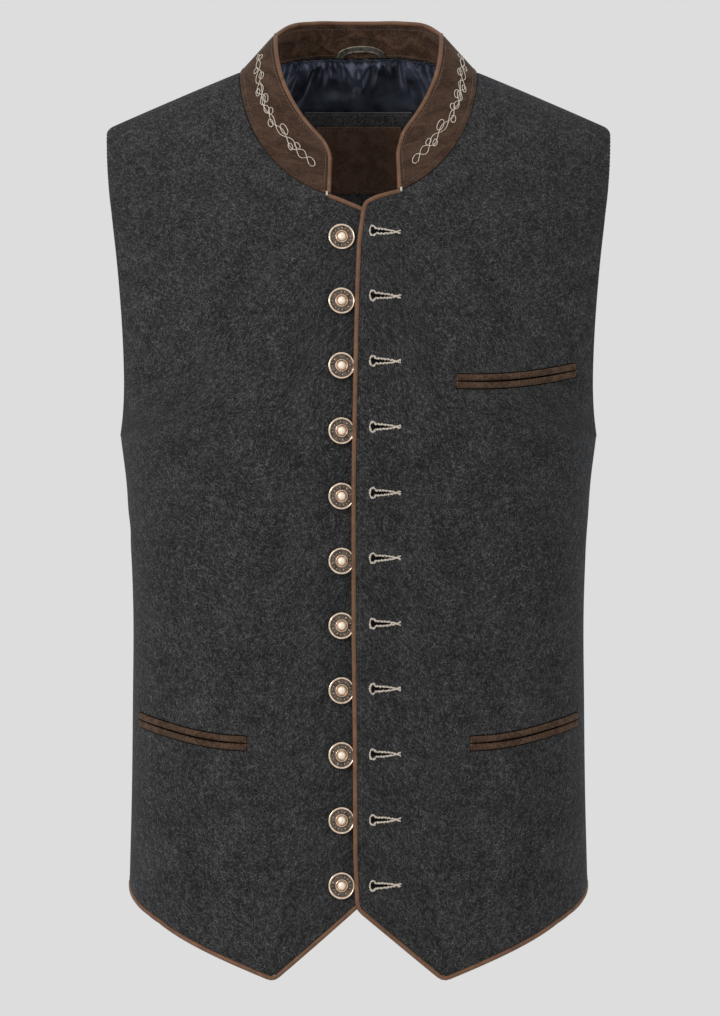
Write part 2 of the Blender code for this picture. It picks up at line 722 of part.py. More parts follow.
def build_welts(suede, group):
    pockets = (("chest", 1, CHEST_POCKET), ("hip_left", 1, HIP_POCKET), ("hip_right", -1, HIP_POCKET))
    for pocket, side, line in pockets:
        for part, direction in (("upper", 1), ("lower", -1)):
            rows = []
            for share, _ in WELT_SHAPE:
                shift = direction * (SEAM_GAP / 2 + share * (WELT_HEIGHT - SEAM_GAP))
                spots = find("front", *(np.array(line) + (0.0, shift)).T)
                rows.append(smooth_through(spots, even(WELT_COLUMNS)) * (side, 1.0))
            spots = np.stack(rows)
            swell = np.array(WELT_SHAPE)[:, 1:] * WELT_THICKNESS
            outer = on_form("front", spots, WELT_BASE + swell)
            inner = on_form("front", spots, WELT_BASE)
            wall(f"{pocket}_welt_{part}", outer, inner, suede, group)


def build_buttons(brass, group):
    for number in range(BUTTON_COUNT):
        name = f"button_{number + 1:02d}"
        mesh = bmesh.new()
        verts = [mesh.verts.new((radius * MM, 0.0, height * MM)) for radius, height in BUTTON_PROFILE]
        for first, second in zip(verts, verts[1:]):
            mesh.edges.new((first, second))
        data = bpy.data.meshes.new(name)
        mesh.to_mesh(data)
        mesh.free()
        made = add_object(name, data, brass, group)
        screw = made.modifiers.new("Turned", "SCREW")
        screw.axis = "Z"
        screw.steps = BUTTON_STEPS
        screw.render_steps = BUTTON_STEPS
        screw.use_merge_vertices = True
        screw.merge_threshold = 0.00001
        screw.use_normal_calculate = True
        spot = find("front", BUTTON_X, BUTTON_TOP_Z - number * BUTTON_PITCH)
        normal = Vector(on_form("front", spot, 1.0) - on_form("front", spot, 0.0))
        turn = normal.to_track_quat("Z", "Y").to_matrix().to_4x4()
        made.rotation_euler = (turn @ Matrix.Rotation(BUTTON_TILT, 4, "Y")).to_euler()
        made.location = Vector(on_form("front", spot, 0.0)) * MM


def build_neck_patch(wool, suede, group):
    patch_out = -LINING_DEPTH - SEAM_GAP
    label_out = patch_out - PATCH - SEAM_GAP
    layers = (
        ("neck_patch", PATCH_HALF_WIDTH, PATCH_TOP_Z, PATCH_BOTTOM_Z, patch_out, PATCH),
        ("neck_label", LABEL_HALF_WIDTH, LABEL_TOP_Z, LABEL_BOTTOM_Z, label_out, LABEL),
    )
    for name, half_width, top, bottom, out, thickness in layers:
        up = np.linspace(bottom, top, PATCH_GRID[0])
        across = np.linspace(-half_width, half_width, PATCH_GRID[1])
        spots = find("back", *np.meshgrid(across, up))
        surface = wool if name == "neck_patch" else suede
        outer = on_form("back", spots, out)
        inner = on_form("back", spots, out - thickness)
        wall(name, outer, inner, surface, group)


def build_hanger_loop(metal, ring, group):
    seam = ring[0]
    out = -2 * SUEDE - 2 * SEAM_GAP
    centre = len(seam) // 2
    rows = []
    for across_bar in (-0.5, 0.5):
        row = []
        for turn in np.linspace(0.0, np.pi, LOOP_POINTS):
            width = LOOP_HALF_WIDTH - LOOP_BAR / 2 + across_bar * LOOP_BAR
            height = LOOP_RISE - LOOP_BAR / 2 + across_bar * LOOP_BAR
            row.append((LOOP_X - width * np.cos(turn), LOOP_FOOT + max(height * np.sin(turn), 0.0)))
        rows.append(row)
    sides = []
    for depth in (out, out - LOOP_THICKNESS):
        sides.append(np.array([[facing_point(ring, centre, x, up, depth) for x, up in row] for row in rows]))
    wall("hanger_loop", sides[0], sides[1], metal, group)


def facing_point(ring, centre, x, up, out):
    """A point over the facing at the back of the neck, by its x, its height up the collar and depth."""
    seam, _, top, _, _ = ring
    height = np.linalg.norm(top[centre] - seam[centre])
    row = collar_surface(up / height, *ring, out)
    behind = row[row[:, 1] > 0]
    behind = behind[np.argsort(behind[:, 0])]
    return np.array([x, np.interp(x, behind[:, 0], behind[:, 1]), np.interp(x, behind[:, 0], behind[:, 2])])


def cut_buttonholes(front, cutters):
    mesh = bmesh.new()
    for number in range(BUTTON_COUNT):
        z = BUTTONHOLE_TOP_Z - number * BUTTONHOLE_PITCH
        x = BUTTONHOLE_LEFT_X + BUTTONHOLE_LENGTH / 2
        centre = skin("front", *find("front", x, z))
        place = Matrix.Translation(Vector(centre) * MM)
        size = Matrix.Diagonal((BUTTONHOLE_LENGTH * MM, BUTTONHOLE_CUT * MM, BUTTONHOLE_WIDTH * MM, 1.0))
        bmesh.ops.create_cube(mesh, size=1.0, matrix=place @ size)
    data = bpy.data.meshes.new("buttonhole_cutter")
    mesh.to_mesh(data)
    mesh.free()
    cutter = add_object("buttonhole_cutter", data, None, cutters)
    cutter.hide_render = True
    cutter.display_type = "WIRE"
    cut = front.modifiers.new("Buttonholes", "BOOLEAN")
    cut.operation = "DIFFERENCE"
    cut.solver = "EXACT"
    cut.object = cutter


def main():
    for item in list(bpy.data.objects):
        bpy.data.objects.remove(item, do_unlink=True)
    vest = collection("folk_vest")
    cutters = collection("cutters")
    wool = material("charcoal_wool", (0.032, 0.034, 0.037), 0.95)
    satin = material("navy_satin", (0.012, 0.015, 0.03), 0.35)
    suede = material("brown_suede", (0.085, 0.048, 0.029), 0.9)
    leather = material("piping_leather", (0.2, 0.105, 0.062), 0.7)
    brass = material("button_metal", (0.62, 0.44, 0.28), 0.35, 1.0)
    metal = material("dark_metal", (0.06, 0.05, 0.045), 0.45, 1.0)
    fronts = build_fronts(wool, vest)
    cut_buttonholes(fronts["front_left"], cutters)
    build_back(wool, satin, vest)
    ring = build_collar(suede, leather, vest)
    build_edge_piping(leather, vest)
    build_welts(suede, vest)
    build_buttons(brass, vest)
    build_neck_patch(wool, suede, vest)
    build_hanger_loop(metal, ring, vest)


main()
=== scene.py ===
"""Looks of the folk vest: fine shells for every cloth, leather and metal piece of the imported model.

Sizes are in millimetres, as in the part's source, and MM turns them into metres. The front faces -Y,
+X is the wearer's left and +Z is up.
"""

import bmesh
import bpy
import numpy as np
from mathutils import Matrix, Vector


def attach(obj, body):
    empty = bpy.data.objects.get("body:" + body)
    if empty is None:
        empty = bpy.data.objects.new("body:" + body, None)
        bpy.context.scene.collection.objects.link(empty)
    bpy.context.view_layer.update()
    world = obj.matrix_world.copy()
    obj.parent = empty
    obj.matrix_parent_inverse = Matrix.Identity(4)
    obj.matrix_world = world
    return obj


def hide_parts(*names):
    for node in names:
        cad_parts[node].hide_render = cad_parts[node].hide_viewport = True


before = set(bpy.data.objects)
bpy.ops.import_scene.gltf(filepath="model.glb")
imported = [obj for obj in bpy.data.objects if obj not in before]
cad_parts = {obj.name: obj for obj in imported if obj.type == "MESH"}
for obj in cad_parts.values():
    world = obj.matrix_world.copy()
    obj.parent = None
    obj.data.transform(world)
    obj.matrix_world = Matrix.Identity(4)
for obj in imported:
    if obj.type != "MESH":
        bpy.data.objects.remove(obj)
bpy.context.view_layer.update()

MM = 0.001
TINY = 1e-6

# Cloth thicknesses and seams.
WOOL = 2.0
SATIN = 1.0
SUEDE = 1.2
LABEL = 1.0
PATCH = 1.5
SEAM_GAP = 0.3
PIPING_RADIUS = 1.5
EDGE_INSET = PIPING_RADIUS + SEAM_GAP
PIPING_STEP = 4.0
PIPING_CORNER = 5.0
LONGEST_CUT = 0.45
ROUNDING_STEPS = 4
PIPING_FULLNESS = 1.72
PIPING_INSET = 0.3
PIPING_REACH = 2.6

# Levels of the garment.
CHEST_Z = -277.0
SIDE_HEM_Z = -611.0
TIP_Z = -676.0
NOTCH_Z = -623.0

# Neck and shoulders.
NECK_HALF_WIDTH = 90.0
NECK_FRONT_DROP = 103.0
NECK_BACK_DEPTH = 66.0
NECK_BACK_POWER = 1.7
SHOULDER_HALF_WIDTH = 192.5
SHOULDER_SLOPE = 0.45
RIDGE_ROUNDING = 45.0
BACK_RIDGE_RISE = 28.0
BACK_RIDGE_POWER = 1.3

# Superellipse powers of the form, and the angles that leave the seams' gaps.
PLAN_POWER = 2.6
RISE_POWER = {"front": 1.8, "back": 2.4}
RISE_SCALE = 300.0
ANGLE_STEP = 0.01
SIDE_PLAN = np.pi / 2 - 0.0009
SHOULDER_RISE = np.pi / 2 - 0.002
EDGE_TRIM = 0.0008

SECTION_COLUMNS = ("height", "half_width", "front_depth", "back_depth")
SECTIONS = (
    (-700.0, 174.0, 121.0, 117.0),
    (-613.0, 173.3, 120.0, 116.0),
    (-550.0, 171.8, 118.0, 111.0),
    (-480.0, 171.0, 116.0, 105.0),
    (-401.0, 170.8, 116.5, 103.0),
    (-340.0, 173.6, 120.5, 110.0),
    (-309.0, 176.0, 123.0, 117.5),
    (-277.0, 180.0, 124.0, 121.0),
    (-230.0, 184.0, 124.0, 121.0),
    (-160.0, 188.5, 124.0, 121.0),
    (-100.0, 191.5, 124.0, 121.0),
    (-42.0, 194.0, 124.0, 121.0),
    (60.0, 194.0, 124.0, 121.0),
)
WIDEST = 194.0

ARMHOLE_COLUMNS = ("height", "front_edge", "back_edge")
ARMHOLE = (
    (-275.2, 179.4, 179.5),
    (-269.5, 178.1, 178.4),
    (-259.5, 176.6, 177.3),
    (-244.0, 175.6, 176.7),
    (-224.0, 175.7, 176.7),
    (-200.0, 176.8, 177.6),
    (-173.0, 178.9, 179.0),
    (-143.0, 182.0, 181.5),
    (-112.0, 186.0, 185.0),
    (-82.0, 189.6, 189.0),
)

# The left front laps over the right one.
LAP_LIFT = 4.7
LAP_REACH = 36.0
LEFT_EDGE_X = -3.7
RIGHT_EDGE_X = 9.0
LEFT_COLLAR_END_X = 32.0
RIGHT_COLLAR_END_X = -23.5

# Collar.
COLLAR_TAPER = 0.72
COLLAR_TAPER_DEPTH = 0.74
COLLAR_CORNER = 9.0
COLLAR_SEAM_LIFT = 0.6
COLLAR_END_REACH = 12.0
COLLAR_END_PULL = 0.85
COLLAR_HEIGHT_COLUMNS = ("turn_from_centre_back", "rise")
COLLAR_HEIGHTS = (
    (0.0, 24.0),
    (20.0, 23.2),
    (45.0, 25.4),
    (68.0, 29.5),
    (90.0, 28.0),
    (112.0, 29.0),
    (135.0, 36.0),
    (180.0, 34.0),
)
COLLAR_BAND = 4.6
COLLAR_BAND_SWELL = 0.35
COLLAR_GROOVE = 0.35
COLLAR_GROOVE_WIDTH = 0.45
TOP_GROOVE = 0.3
TOP_GROOVE_WIDTH = 0.4
COLLAR_EDGE_DROP = 0.55
COLLAR_EDGE_ROUNDING = 0.6
FACING_RELIEF = 0.3

# Buttons.
BUTTON_COUNT = 11
BUTTON_TOP_Z = -132.5
BUTTON_PITCH = 47.4
BUTTON_X = -12.4
BUTTON_TILT = np.radians(6.0)
BUTTON_SIDES = 56
# Columns: radius, height, metal of the band that follows.
BUTTON_PROFILE = (
    # The dome's near-white finish is a painted highlight.
    (0.0, 4.75, "pearl"),
    (0.9, 4.68, "pearl"),
    (1.8, 4.4, "pearl"),
    (2.5, 3.95, "pearl"),
    (2.95, 3.3, "pearl"),
    (3.1, 2.75, "copper"),
    (3.4, 2.7, "copper"),
    (3.8, 2.9, "copper"),
    (4.15, 3.1, "bright"),
    (4.45, 3.05, "bright"),
    (4.65, 2.7, "dark"),
    (4.75, 2.3, "dark"),
    (5.2, 2.2, "dark"),
    (6.8, 2.2, "dark"),
    (8.2, 2.25, "dark"),
    (8.45, 2.5, "bright"),
    (8.75, 2.85, "bright"),
    (9.2, 2.95, "bright"),
    (9.6, 2.75, "bright"),
    (9.85, 2.3, "bright"),
    (9.75, 1.8, "bright"),
    (9.3, 1.5, "dark"),
    (2.2, 1.5, "dark"),
    (2.2, 0.3, "dark"),
    (0.0, 0.3, "dark"),
)
BUTTON_MARKS = 16
BUTTON_MARK_RADIUS = 6.6
BUTTON_MARK_HEIGHT = 2.26
BUTTON_MARK_SIZES = ((0.95, 0.28, 0.22), (0.30, 0.30, 0.24))
BUTTON_SPIN = 2.4

# Buttonholes: the thread's line as a keyhole, from its left end.
BUTTONHOLE_TOP_Z = -128.5
BUTTONHOLE_PITCH = 47.8
BUTTONHOLE_LEFT_X = 8.3
# Columns: length along, half height.
BUTTONHOLE = (
    (0.0, 0.0),
    (0.3, 2.0),
    (1.1, 3.3),
    (2.4, 3.7),
    (3.5, 3.0),
    (4.3, 1.95),
    (7.5, 1.8),
    (11.5, 1.5),
    (15.5, 0.95),
    (18.4, 0.35),
    (20.0, 0.0),
)
BUTTONHOLE_TAIL = ((20.0, 0.0), (21.2, -0.7), (22.4, -1.0))
BUTTONHOLE_THREAD = 0.58
BUTTONHOLE_LUMPS = 0.4
SLIT_DEPTH = -1.7

# Pockets: the slit's middle line on the wearer's left side, seen from the front.
CHEST_POCKET = (
    (71.0, -238.4),
    (93.0, -238.4),
    (115.5, -237.0),
    (139.0, -233.6),
    (160.5, -229.0),
)
HIP_POCKET = (
    (81.5, -503.5),
    (101.0, -502.4),
    (121.5, -499.3),
    (146.0, -493.5),
    (160.0, -489.6),
    (167.0, -487.2),
)
WELT_HEIGHT = 5.2
WELT_FULLNESS = 2.1
WELT_SINK = 0.5
WELT_LENGTH = 95.0
WELT_CORNER = 2.2
WELT_PARTING = 0.42
# Radius of the near-black line of painted shade beside each welt.
WELT_SHADE_RADIUS = 0.42
WELT_ROUNDNESS = 2.6
WELT_END_HEIGHT = 0.8
WELT_RIM = 0.12
# Painted shade lines beside the welts and in their slot: distance, lifts and the slot line's radius.
WELT_SHADE_DISTANCE = 0.25
WELT_SHADE_LIFT = 0.05
SLOT_SHADE_RADIUS = 0.714
SLOT_SHADE_LIFT = 0.1
HIP_WELT_REACH = 0.955
WELT_COLUMNS = 90
WELT_ROWS = 11

# Inside of the back.
LINING_CLEARANCE = 0.9
GATHER_DEPTH = 1.3
PATCH_CLEARANCE = 0.4
LINING_DEPTH = WOOL + SEAM_GAP + LINING_CLEARANCE + SATIN + GATHER_DEPTH + PATCH_CLEARANCE
PATCH_HALF_WIDTH = 44.0
PATCH_TOP_Z = -20.0
PATCH_BOTTOM_Z = -106.0
LABEL_HALF_WIDTH = 35.0
LABEL_TOP_Z = -31.0
LABEL_BOTTOM_Z = -83.0
PATCH_ROWS = 40
PATCH_COLUMNS = 45
PATCH_ROLL = 0.4
TURNED_EDGE = 0.55
TURNED_EDGE_INSET = 0.6
TURNED_EDGE_DROP = 12.0
TURNED_EDGE_DEPTH = 0.6
EDGE_POINTS = 60

# Hanger loop.
LOOP_X = 2.2
LOOP_HALF_WIDTH = 19.6
LOOP_RISE = 11.8
LOOP_BAR = 6.2
LOOP_THICKNESS = 1.6
LOOP_FOOT = 0.8
# Across the loop's bar: place as a share of its width, share of its thickness.
LOOP_PROFILE = (
    (-0.5, 0.45),
    (-0.44, 0.85),
    (-0.36, 1.0),
    (-0.3, 0.8),
    (0.0, 0.75),
    (0.3, 0.8),
    (0.36, 1.0),
    (0.44, 0.85),
    (0.5, 0.45),
)
LOOP_TURNS = 61

# Stitches: length, gap, lift and slant. Radii of the threads.
COLLAR_STITCH = (2.4, 0.7, 0.3)
COLLAR_END_STITCH = (2.0, 0.7, 0.35)
EDGE_STITCH = (2.6, 0.8, 0.22)
LABEL_STITCH = (2.3, 0.8, 0.35)
VINE_STITCH = (2.1, -0.75, 0.38, 0.14)
SEWING_THREAD = 0.2
LABEL_THREAD = 0.22
TACK_THREAD = 0.24
BUTTONHOLE_STITCH_THREAD = 0.30
SEAM_POINTS = 600
COLLAR_END_INSET = 2.2
COLLAR_TOP_STITCH = 2.1
FACING_STITCHES = (3.2, 2.4)
EDGE_STITCH_INSET = 3.0
SEAM_STEP = 3.0
ARMHOLE_STITCH_TURN = 3.2 / 150.0
# Bar tacks at the collar's ends. Columns: side, x, z.
TACKS = ((-1, -23.2, -99.6), (1, 31.4, -96.4))
TACK_STITCHES = 4
TACK_PITCH = 0.35
TACK_HALF_HEIGHT = 1.7

# A stitch's rings of points and its radius at each.
THREAD_SIDES = 6
THREAD_TAPER = (0.55, 0.92, 1.0, 0.92, 0.55)
THREAD_RINGS = len(THREAD_TAPER)

# Grids of the fine shells.
FRONT_COLUMNS = 62
TIP_CELLS = 22
ROWS_BELOW = 100
EDGE_CELLS = 42
NECK_EDGE_CELLS = 8
NECK_POINTS = 46
BACK_HALF_COLUMNS = 52
BACK_NECK_CELLS = 24
BACK_ROWS_BELOW = 90
BACK_ROWS_ABOVE = 90
COLLAR_ROWS = 25
LINING_ROWS_BELOW = 24
LINING_ROWS_ABOVE = 110
LINING_SIDE_COLUMNS = 20
LINING_NECK_COLUMNS = 129
ARMHOLE_CROWDING = 1.35
LINING_CROWDING = 1.6
COLLAR_READING_ROWS = 41
# How cloth rounds off at its edges. Columns: length from the edge, drop.
ROLL = ((0.0, 0.8), (0.3, 0.33), (0.75, 0.08), (1.3, 0.0))

# Photograph's view: a camera 3 m in front, level, with 0.76 mm to the pixel at the vest's middle.
VIEW_DISTANCE = 3000.0
MM_PER_PIXEL = 0.76
PHOTO_HEIGHT = 1016
VIEW_X = 1.14
VIEW_Z = -331.0
SENSOR = 36.0
FLOOR_Z = -1450.0
BACKGROUND = 0.723


# The form, as in the part's source.


def column(table, columns, name, at):
    """Smooth reading of one named column of a table against its first column."""
    rows = np.array(table)
    keys = rows[:, 0]
    values = rows[:, columns.index(name)]
    slopes = np.gradient(values, keys)
    at = np.clip(at, keys[0], keys[-1])
    low = np.clip(np.searchsorted(keys, at, side="right") - 1, 0, len(keys) - 2)
    span = keys[low + 1] - keys[low]
    t = (at - keys[low]) / span
    start = (2 * t**3 - 3 * t**2 + 1) * values[low] + (t**3 - 2 * t**2 + t) * span * slopes[low]
    end = (3 * t**2 - 2 * t**3) * values[low + 1] + (t**3 - t**2) * span * slopes[low + 1]
    return start + end


def superellipse(angle, power):
    """Sine-like and cosine-like sides of a unit superellipse at an angle."""
    sine = np.sin(angle)
    cosine = np.cos(angle)
    reach = (np.abs(sine) ** power + np.abs(cosine) ** power) ** (-1.0 / power)
    return sine * reach, cosine * reach


def ridge_height(half, x):
    """Height of the line over the shoulders, which runs on inside the neck."""
    rounded_x = np.hypot(x, RIDGE_ROUNDING) - np.hypot(NECK_HALF_WIDTH, RIDGE_ROUNDING) + NECK_HALF_WIDTH
    line = SHOULDER_SLOPE * (NECK_HALF_WIDTH - rounded_x)
    if half == "front":
        return line
    inside = np.clip(1.0 - (x / NECK_HALF_WIDTH) ** 2, 0.0, 1.0)
    return line + BACK_RIDGE_RISE * inside**BACK_RIDGE_POWER


def nominal_height(rise_sine):
    """Height that the width is read at, above the chest."""
    shoulder = ridge_height("front", SHOULDER_HALF_WIDTH)
    return CHEST_Z + (shoulder - CHEST_Z) * rise_sine


def skin(half, plan, rise):
    """Outer surface of the form at a plan angle from the middle and a rise from the chest."""
    plan = np.asarray(plan, float)
    rise = np.asarray(rise, float)
    across, depth_share = superellipse(plan, PLAN_POWER)
    rise_sine, rise_cosine = superellipse(np.clip(rise, 0.0, np.pi / 2), RISE_POWER[half])
    below = CHEST_Z + RISE_SCALE * np.minimum(rise, 0.0)
    level = np.where(rise < 0, below, nominal_height(rise_sine))
    x = across * column(SECTIONS, SECTION_COLUMNS, "half_width", level)
    depth = column(SECTIONS, SECTION_COLUMNS, half + "_depth", level)
    above = CHEST_Z + (ridge_height(half, x) - CHEST_Z) * rise_sine
    z = np.where(rise < 0, below, above)
    towards = -1.0 if half == "front" else 1.0
    y = towards * depth * depth_share * np.where(rise < 0, 1.0, rise_cosine)
    return np.stack([x, y, z], axis=-1)


def outward(half, plan, rise):
    """Unit normal of the form, shared by the pieces on both sides of a seam."""
    step = ANGLE_STEP
    plan = np.asarray(plan, float)
    rise = np.asarray(rise, float)
    limit = np.pi / 2
    before = skin(half, np.maximum(plan - step, -limit), rise)
    round_body = skin(half, np.minimum(plan + step, limit), rise) - before
    upwards = skin(half, plan, np.minimum(rise + step, limit)) - skin(half, plan, rise - step)
    normal = np.cross(round_body, upwards)
    if half == "back":
        normal = -normal
    at_side = np.abs(plan) > limit - step
    at_ridge = rise > limit - step
    normal[..., 1] = np.where(at_side | at_ridge, 0.0, normal[..., 1])
    return unit(normal)


def find(half, x, z):
    """Plan angle and rise of the point that shows at x and z from the front or the back."""
    x = np.asarray(x, float)
    z = np.asarray(z, float)
    power = RISE_POWER[half]
    ridge = ridge_height(half, np.minimum(np.abs(x), WIDEST))
    share = np.clip((z - CHEST_Z) / (ridge - CHEST_Z), 0.0, 1.0)
    rise_up = np.arctan2(share, (1.0 - share**power) ** (1.0 / power))
    rise = np.where(z < CHEST_Z, (z - CHEST_Z) / RISE_SCALE, rise_up)
    level = np.where(z < CHEST_Z, z, nominal_height(share))
    across = np.clip(np.abs(x) / column(SECTIONS, SECTION_COLUMNS, "half_width", level), 0.0, 1.0)
    plan = np.arctan2(across, (1.0 - across**PLAN_POWER) ** (1.0 / PLAN_POWER))
    return np.stack([np.sign(x) * plan, rise], axis=-1)


def on_form(half, spots, out):
    """Points of the form at an array of plan and rise pairs, moved out along the normal."""
    spots = np.asarray(spots, float)
    out = np.broadcast_to(np.asarray(out, float), spots.shape[:-1])
    plan = spots[..., 0]
    rise = spots[..., 1]
    return skin(half, plan, rise) + out[..., None] * outward(half, plan, rise)


def even(count):
    """Shares from 0 to 1, evenly spaced."""
    return np.linspace(0.0, 1.0, count)


def unit(vectors):
    """Vectors along the last axis, made one long."""
    return vectors / np.maximum(np.linalg.norm(vectors, axis=-1, keepdims=True), TINY)


def bent(start, middle, end, t):
    """Points at shares of the way along a curve from start to end that bends towards a middle."""
    return (1 - t) ** 2 * start + 2 * t * (1 - t) * middle + t**2 * end


def lengths_run(points):
    """Length run along a polyline at each of its points."""
    return np.concatenate([[0.0], np.cumsum(np.linalg.norm(np.diff(points, axis=0), axis=1))])


def at_lengths(where, travelled, values):
    """Rows of values read at lengths run."""
    return np.stack([np.interp(where, travelled, side) for side in values.T], axis=-1)


def crowded_ends(count):
    """Shares from 0 to 1 that lie closer together at both ends."""
    return 0.5 - 0.5 * np.cos(np.pi * even(count))


def smoothstep(t):
    t = np.clip(t, 0.0, 1.0)
    return t * t * (3.0 - 2.0 * t)


def lap_lift(x):
    """How far the left front stands off the form near its edge."""
    return LAP_LIFT * (1.0 - smoothstep((x - LEFT_EDGE_X) / LAP_REACH))


def resample(points, shares):
    """Points along a polyline at the given shares of its length."""
    points = np.asarray(points, float)
    travelled = lengths_run(points)
    return at_lengths(shares * travelled[-1], travelled, points)


def smooth_through(points, shares):
    """Points at shares of the length of a smooth curve through a few points."""
    points = np.asarray(points, float)
    keys = np.arange(len(points), dtype=float)
    at = np.linspace(0.0, keys[-1], 16 * len(points))
    names = ("key", *(f"side_{n}" for n in range(points.shape[1])))
    table = np.column_stack([keys, points])
    curve = np.stack([column(table, names, name, at) for name in names[1:]], axis=-1)
    return resample(curve, shares)


def rounded(corners, radius):
    """A polyline whose inner corners are rounded off by short curves."""
    corners = np.asarray(corners, float)
    points = [corners[0]]
    for before, corner, after in zip(corners, corners[1:], corners[2:]):
        reach = min(np.linalg.norm(before - corner), np.linalg.norm(after - corner))
        cut = min(radius, LONGEST_CUT * reach)
        start = corner + cut * unit(before - corner)
        end = corner + cut * unit(after - corner)
        points.extend(bent(start, corner, end, even(ROUNDING_STEPS)[:, None]))
    points.append(corners[-1])
    return np.array(points)


def inset(path, distance):
    """A path in the front view moved sideways, to the left of its direction."""
    path = np.asarray(path, float)
    along = unit(np.gradient(path, axis=0))
    return path + distance * np.column_stack([-along[:, 1], along[:, 0]])


def coons(bottom, top, left, right):
    """Grid between four edges, rows from bottom to top."""
    u = even(len(bottom))[None, :, None]
    v = even(len(left))[:, None, None]
    between = (1 - v) * bottom[None] + v * top[None] + (1 - u) * left[:, None] + u * right[:, None]
    corners = (1 - u) * (1 - v) * bottom[0] + u * (1 - v) * bottom[-1]
    corners = corners + (1 - u) * v * top[0] + u * v * top[-1]
    return between - corners


def neck_spot_front(turn):
    """Front neck seam: an ellipse seen from the front, from the high shoulder point at 0."""
    x = NECK_HALF_WIDTH * np.cos(turn)
    z = -NECK_FRONT_DROP * np.sin(turn)
    return find("front", x, z)


def neck_spot_back(turn):
    """Back neck seam: an oval seen from above, from the high shoulder point at 0."""
    x, depth = superellipse(np.pi / 2 - turn, NECK_BACK_POWER)
    x = np.clip(x, 0.0, 1.0) * NECK_HALF_WIDTH
    y = depth * NECK_BACK_DEPTH
    level_depth = column(SECTIONS, SECTION_COLUMNS, "back_depth", 0.0)
    across = x / column(SECTIONS, SECTION_COLUMNS, "half_width", 0.0)
    share = (1.0 - across**PLAN_POWER) ** (1.0 / PLAN_POWER)
    power = RISE_POWER["back"]
    cosine = np.clip(y / (level_depth * share), 0.0, 1.0)
    rise = np.arctan2((1.0 - cosine**power) ** (1.0 / power), cosine)
    return np.stack([np.arctan2(across, share), rise], axis=-1)


def even_turns(neck_spot, half, start, count):
    """Turns along a neck seam, down to the shoulder, that lie evenly on the form."""
    turns = np.linspace(start, 0.0, 600)
    spots = neck_spot(turns)
    points = skin(half, spots[:, 0], spots[:, 1])
    travelled = lengths_run(points)
    return np.interp(np.linspace(0.0, travelled[-1], count), travelled, turns)


def front_edge_corners(side):
    """Corners of a front's piping in the front view, from the collar's end to near the side seam."""
    if side > 0:
        neck = [(28.2, -97.6), (14.0, -102.0), (5.2, -107.2)]
        edge = [(3.4, -113.0), (0.2, -138.0), (-1.0, -170.0), (-2.4, -232.0), (LEFT_EDGE_X, -310.0)]
        edge += [(LEFT_EDGE_X, -420.0), (-2.8, -500.0), (-2.4, -585.0)]
        notch = [(-0.9, NOTCH_Z)]
    else:
        neck = [(-19.8, -101.4), (-1.0, -109.0), (8.0, -113.4)]
        edge = [(RIGHT_EDGE_X, -119.0), (RIGHT_EDGE_X, NOTCH_Z + 16.0)]
        notch = [(RIGHT_EDGE_X - 1.0, NOTCH_Z + 9.0)]
    hem = [(side * x, z) for x, z in ((62.5, TIP_Z), (152.0, -635.0), (168.0, -624.0))]
    return neck, edge, notch, hem


def front_edge_spots(side, distance):
    """Spots along a front's neck, front edge and hem, in those three runs, moved in by a distance."""
    neck, edge, notch, hem = front_edge_corners(side)
    path = rounded(neck + edge + notch + hem, PIPING_CORNER)
    moved = inset(path, side * distance)
    top = int(np.argmin(np.hypot(*(path - 0.5 * (np.array(neck[-1]) + edge[0])).T)))
    bottom = int(np.argmin(np.hypot(*(path - notch[0]).T)))
    spots = find("front", moved[:, 0], moved[:, 1])
    end = np.array([side * SIDE_PLAN, (SIDE_HEM_Z + distance - CHEST_Z) / RISE_SCALE])
    round_side = spots[-1] + (end - spots[-1]) * np.linspace(0.0, 1.0, 6)[1:, None]
    return spots[: top + 1], spots[top : bottom + 1], np.vstack([spots[bottom:], round_side])


def subdivided(spots, longest):
    """Spots on the front with more between them, so that no step is longer than given."""
    made = [spots[0]]
    for start, end in zip(spots, spots[1:]):
        step = np.linalg.norm(skin("front", *start) - skin("front", *end))
        shares = even(int(np.ceil(step / longest)) + 1)[1:]
        made.extend(start + (end - start) * share for share in shares)
    return np.array(made)


def armhole_shares(cells):
    """Shares of the way up an armhole, closer together round its base."""
    return even(cells + 1) ** ARMHOLE_CROWDING


def side_and_armhole(half, edge_name, side, below, above, hem_z):
    """Spots up the side seam and round the armhole to the shoulder's end."""
    levels = np.linspace(hem_z, CHEST_Z, below)
    seam = np.column_stack([np.full(below, side * SIDE_PLAN), (levels - CHEST_Z) / RISE_SCALE])
    rows = np.array(ARMHOLE)
    edges = rows[:, ARMHOLE_COLUMNS.index(edge_name)]
    middle = find(half, side * edges, rows[:, 0])
    end = find(half, side * SHOULDER_HALF_WIDTH, 0.0)
    end[1] = SHOULDER_RISE
    hole = smooth_through(np.vstack([seam[-1:], middle, end[None]]), armhole_shares(above))
    return np.vstack([seam, hole[1:]])


def shoulder_spots(half, side, count):
    x = side * np.linspace(NECK_HALF_WIDTH, SHOULDER_HALF_WIDTH, count)
    spots = find(half, x, np.zeros(count))
    spots[:, 1] = SHOULDER_RISE
    return spots


def front_neck_turns(side, count):
    """Turns of a front's neck seam, from the collar's end to the shoulder."""
    end = LEFT_COLLAR_END_X if side > 0 else -RIGHT_COLLAR_END_X
    return even_turns(neck_spot_front, "front", np.arccos(end / NECK_HALF_WIDTH), count)


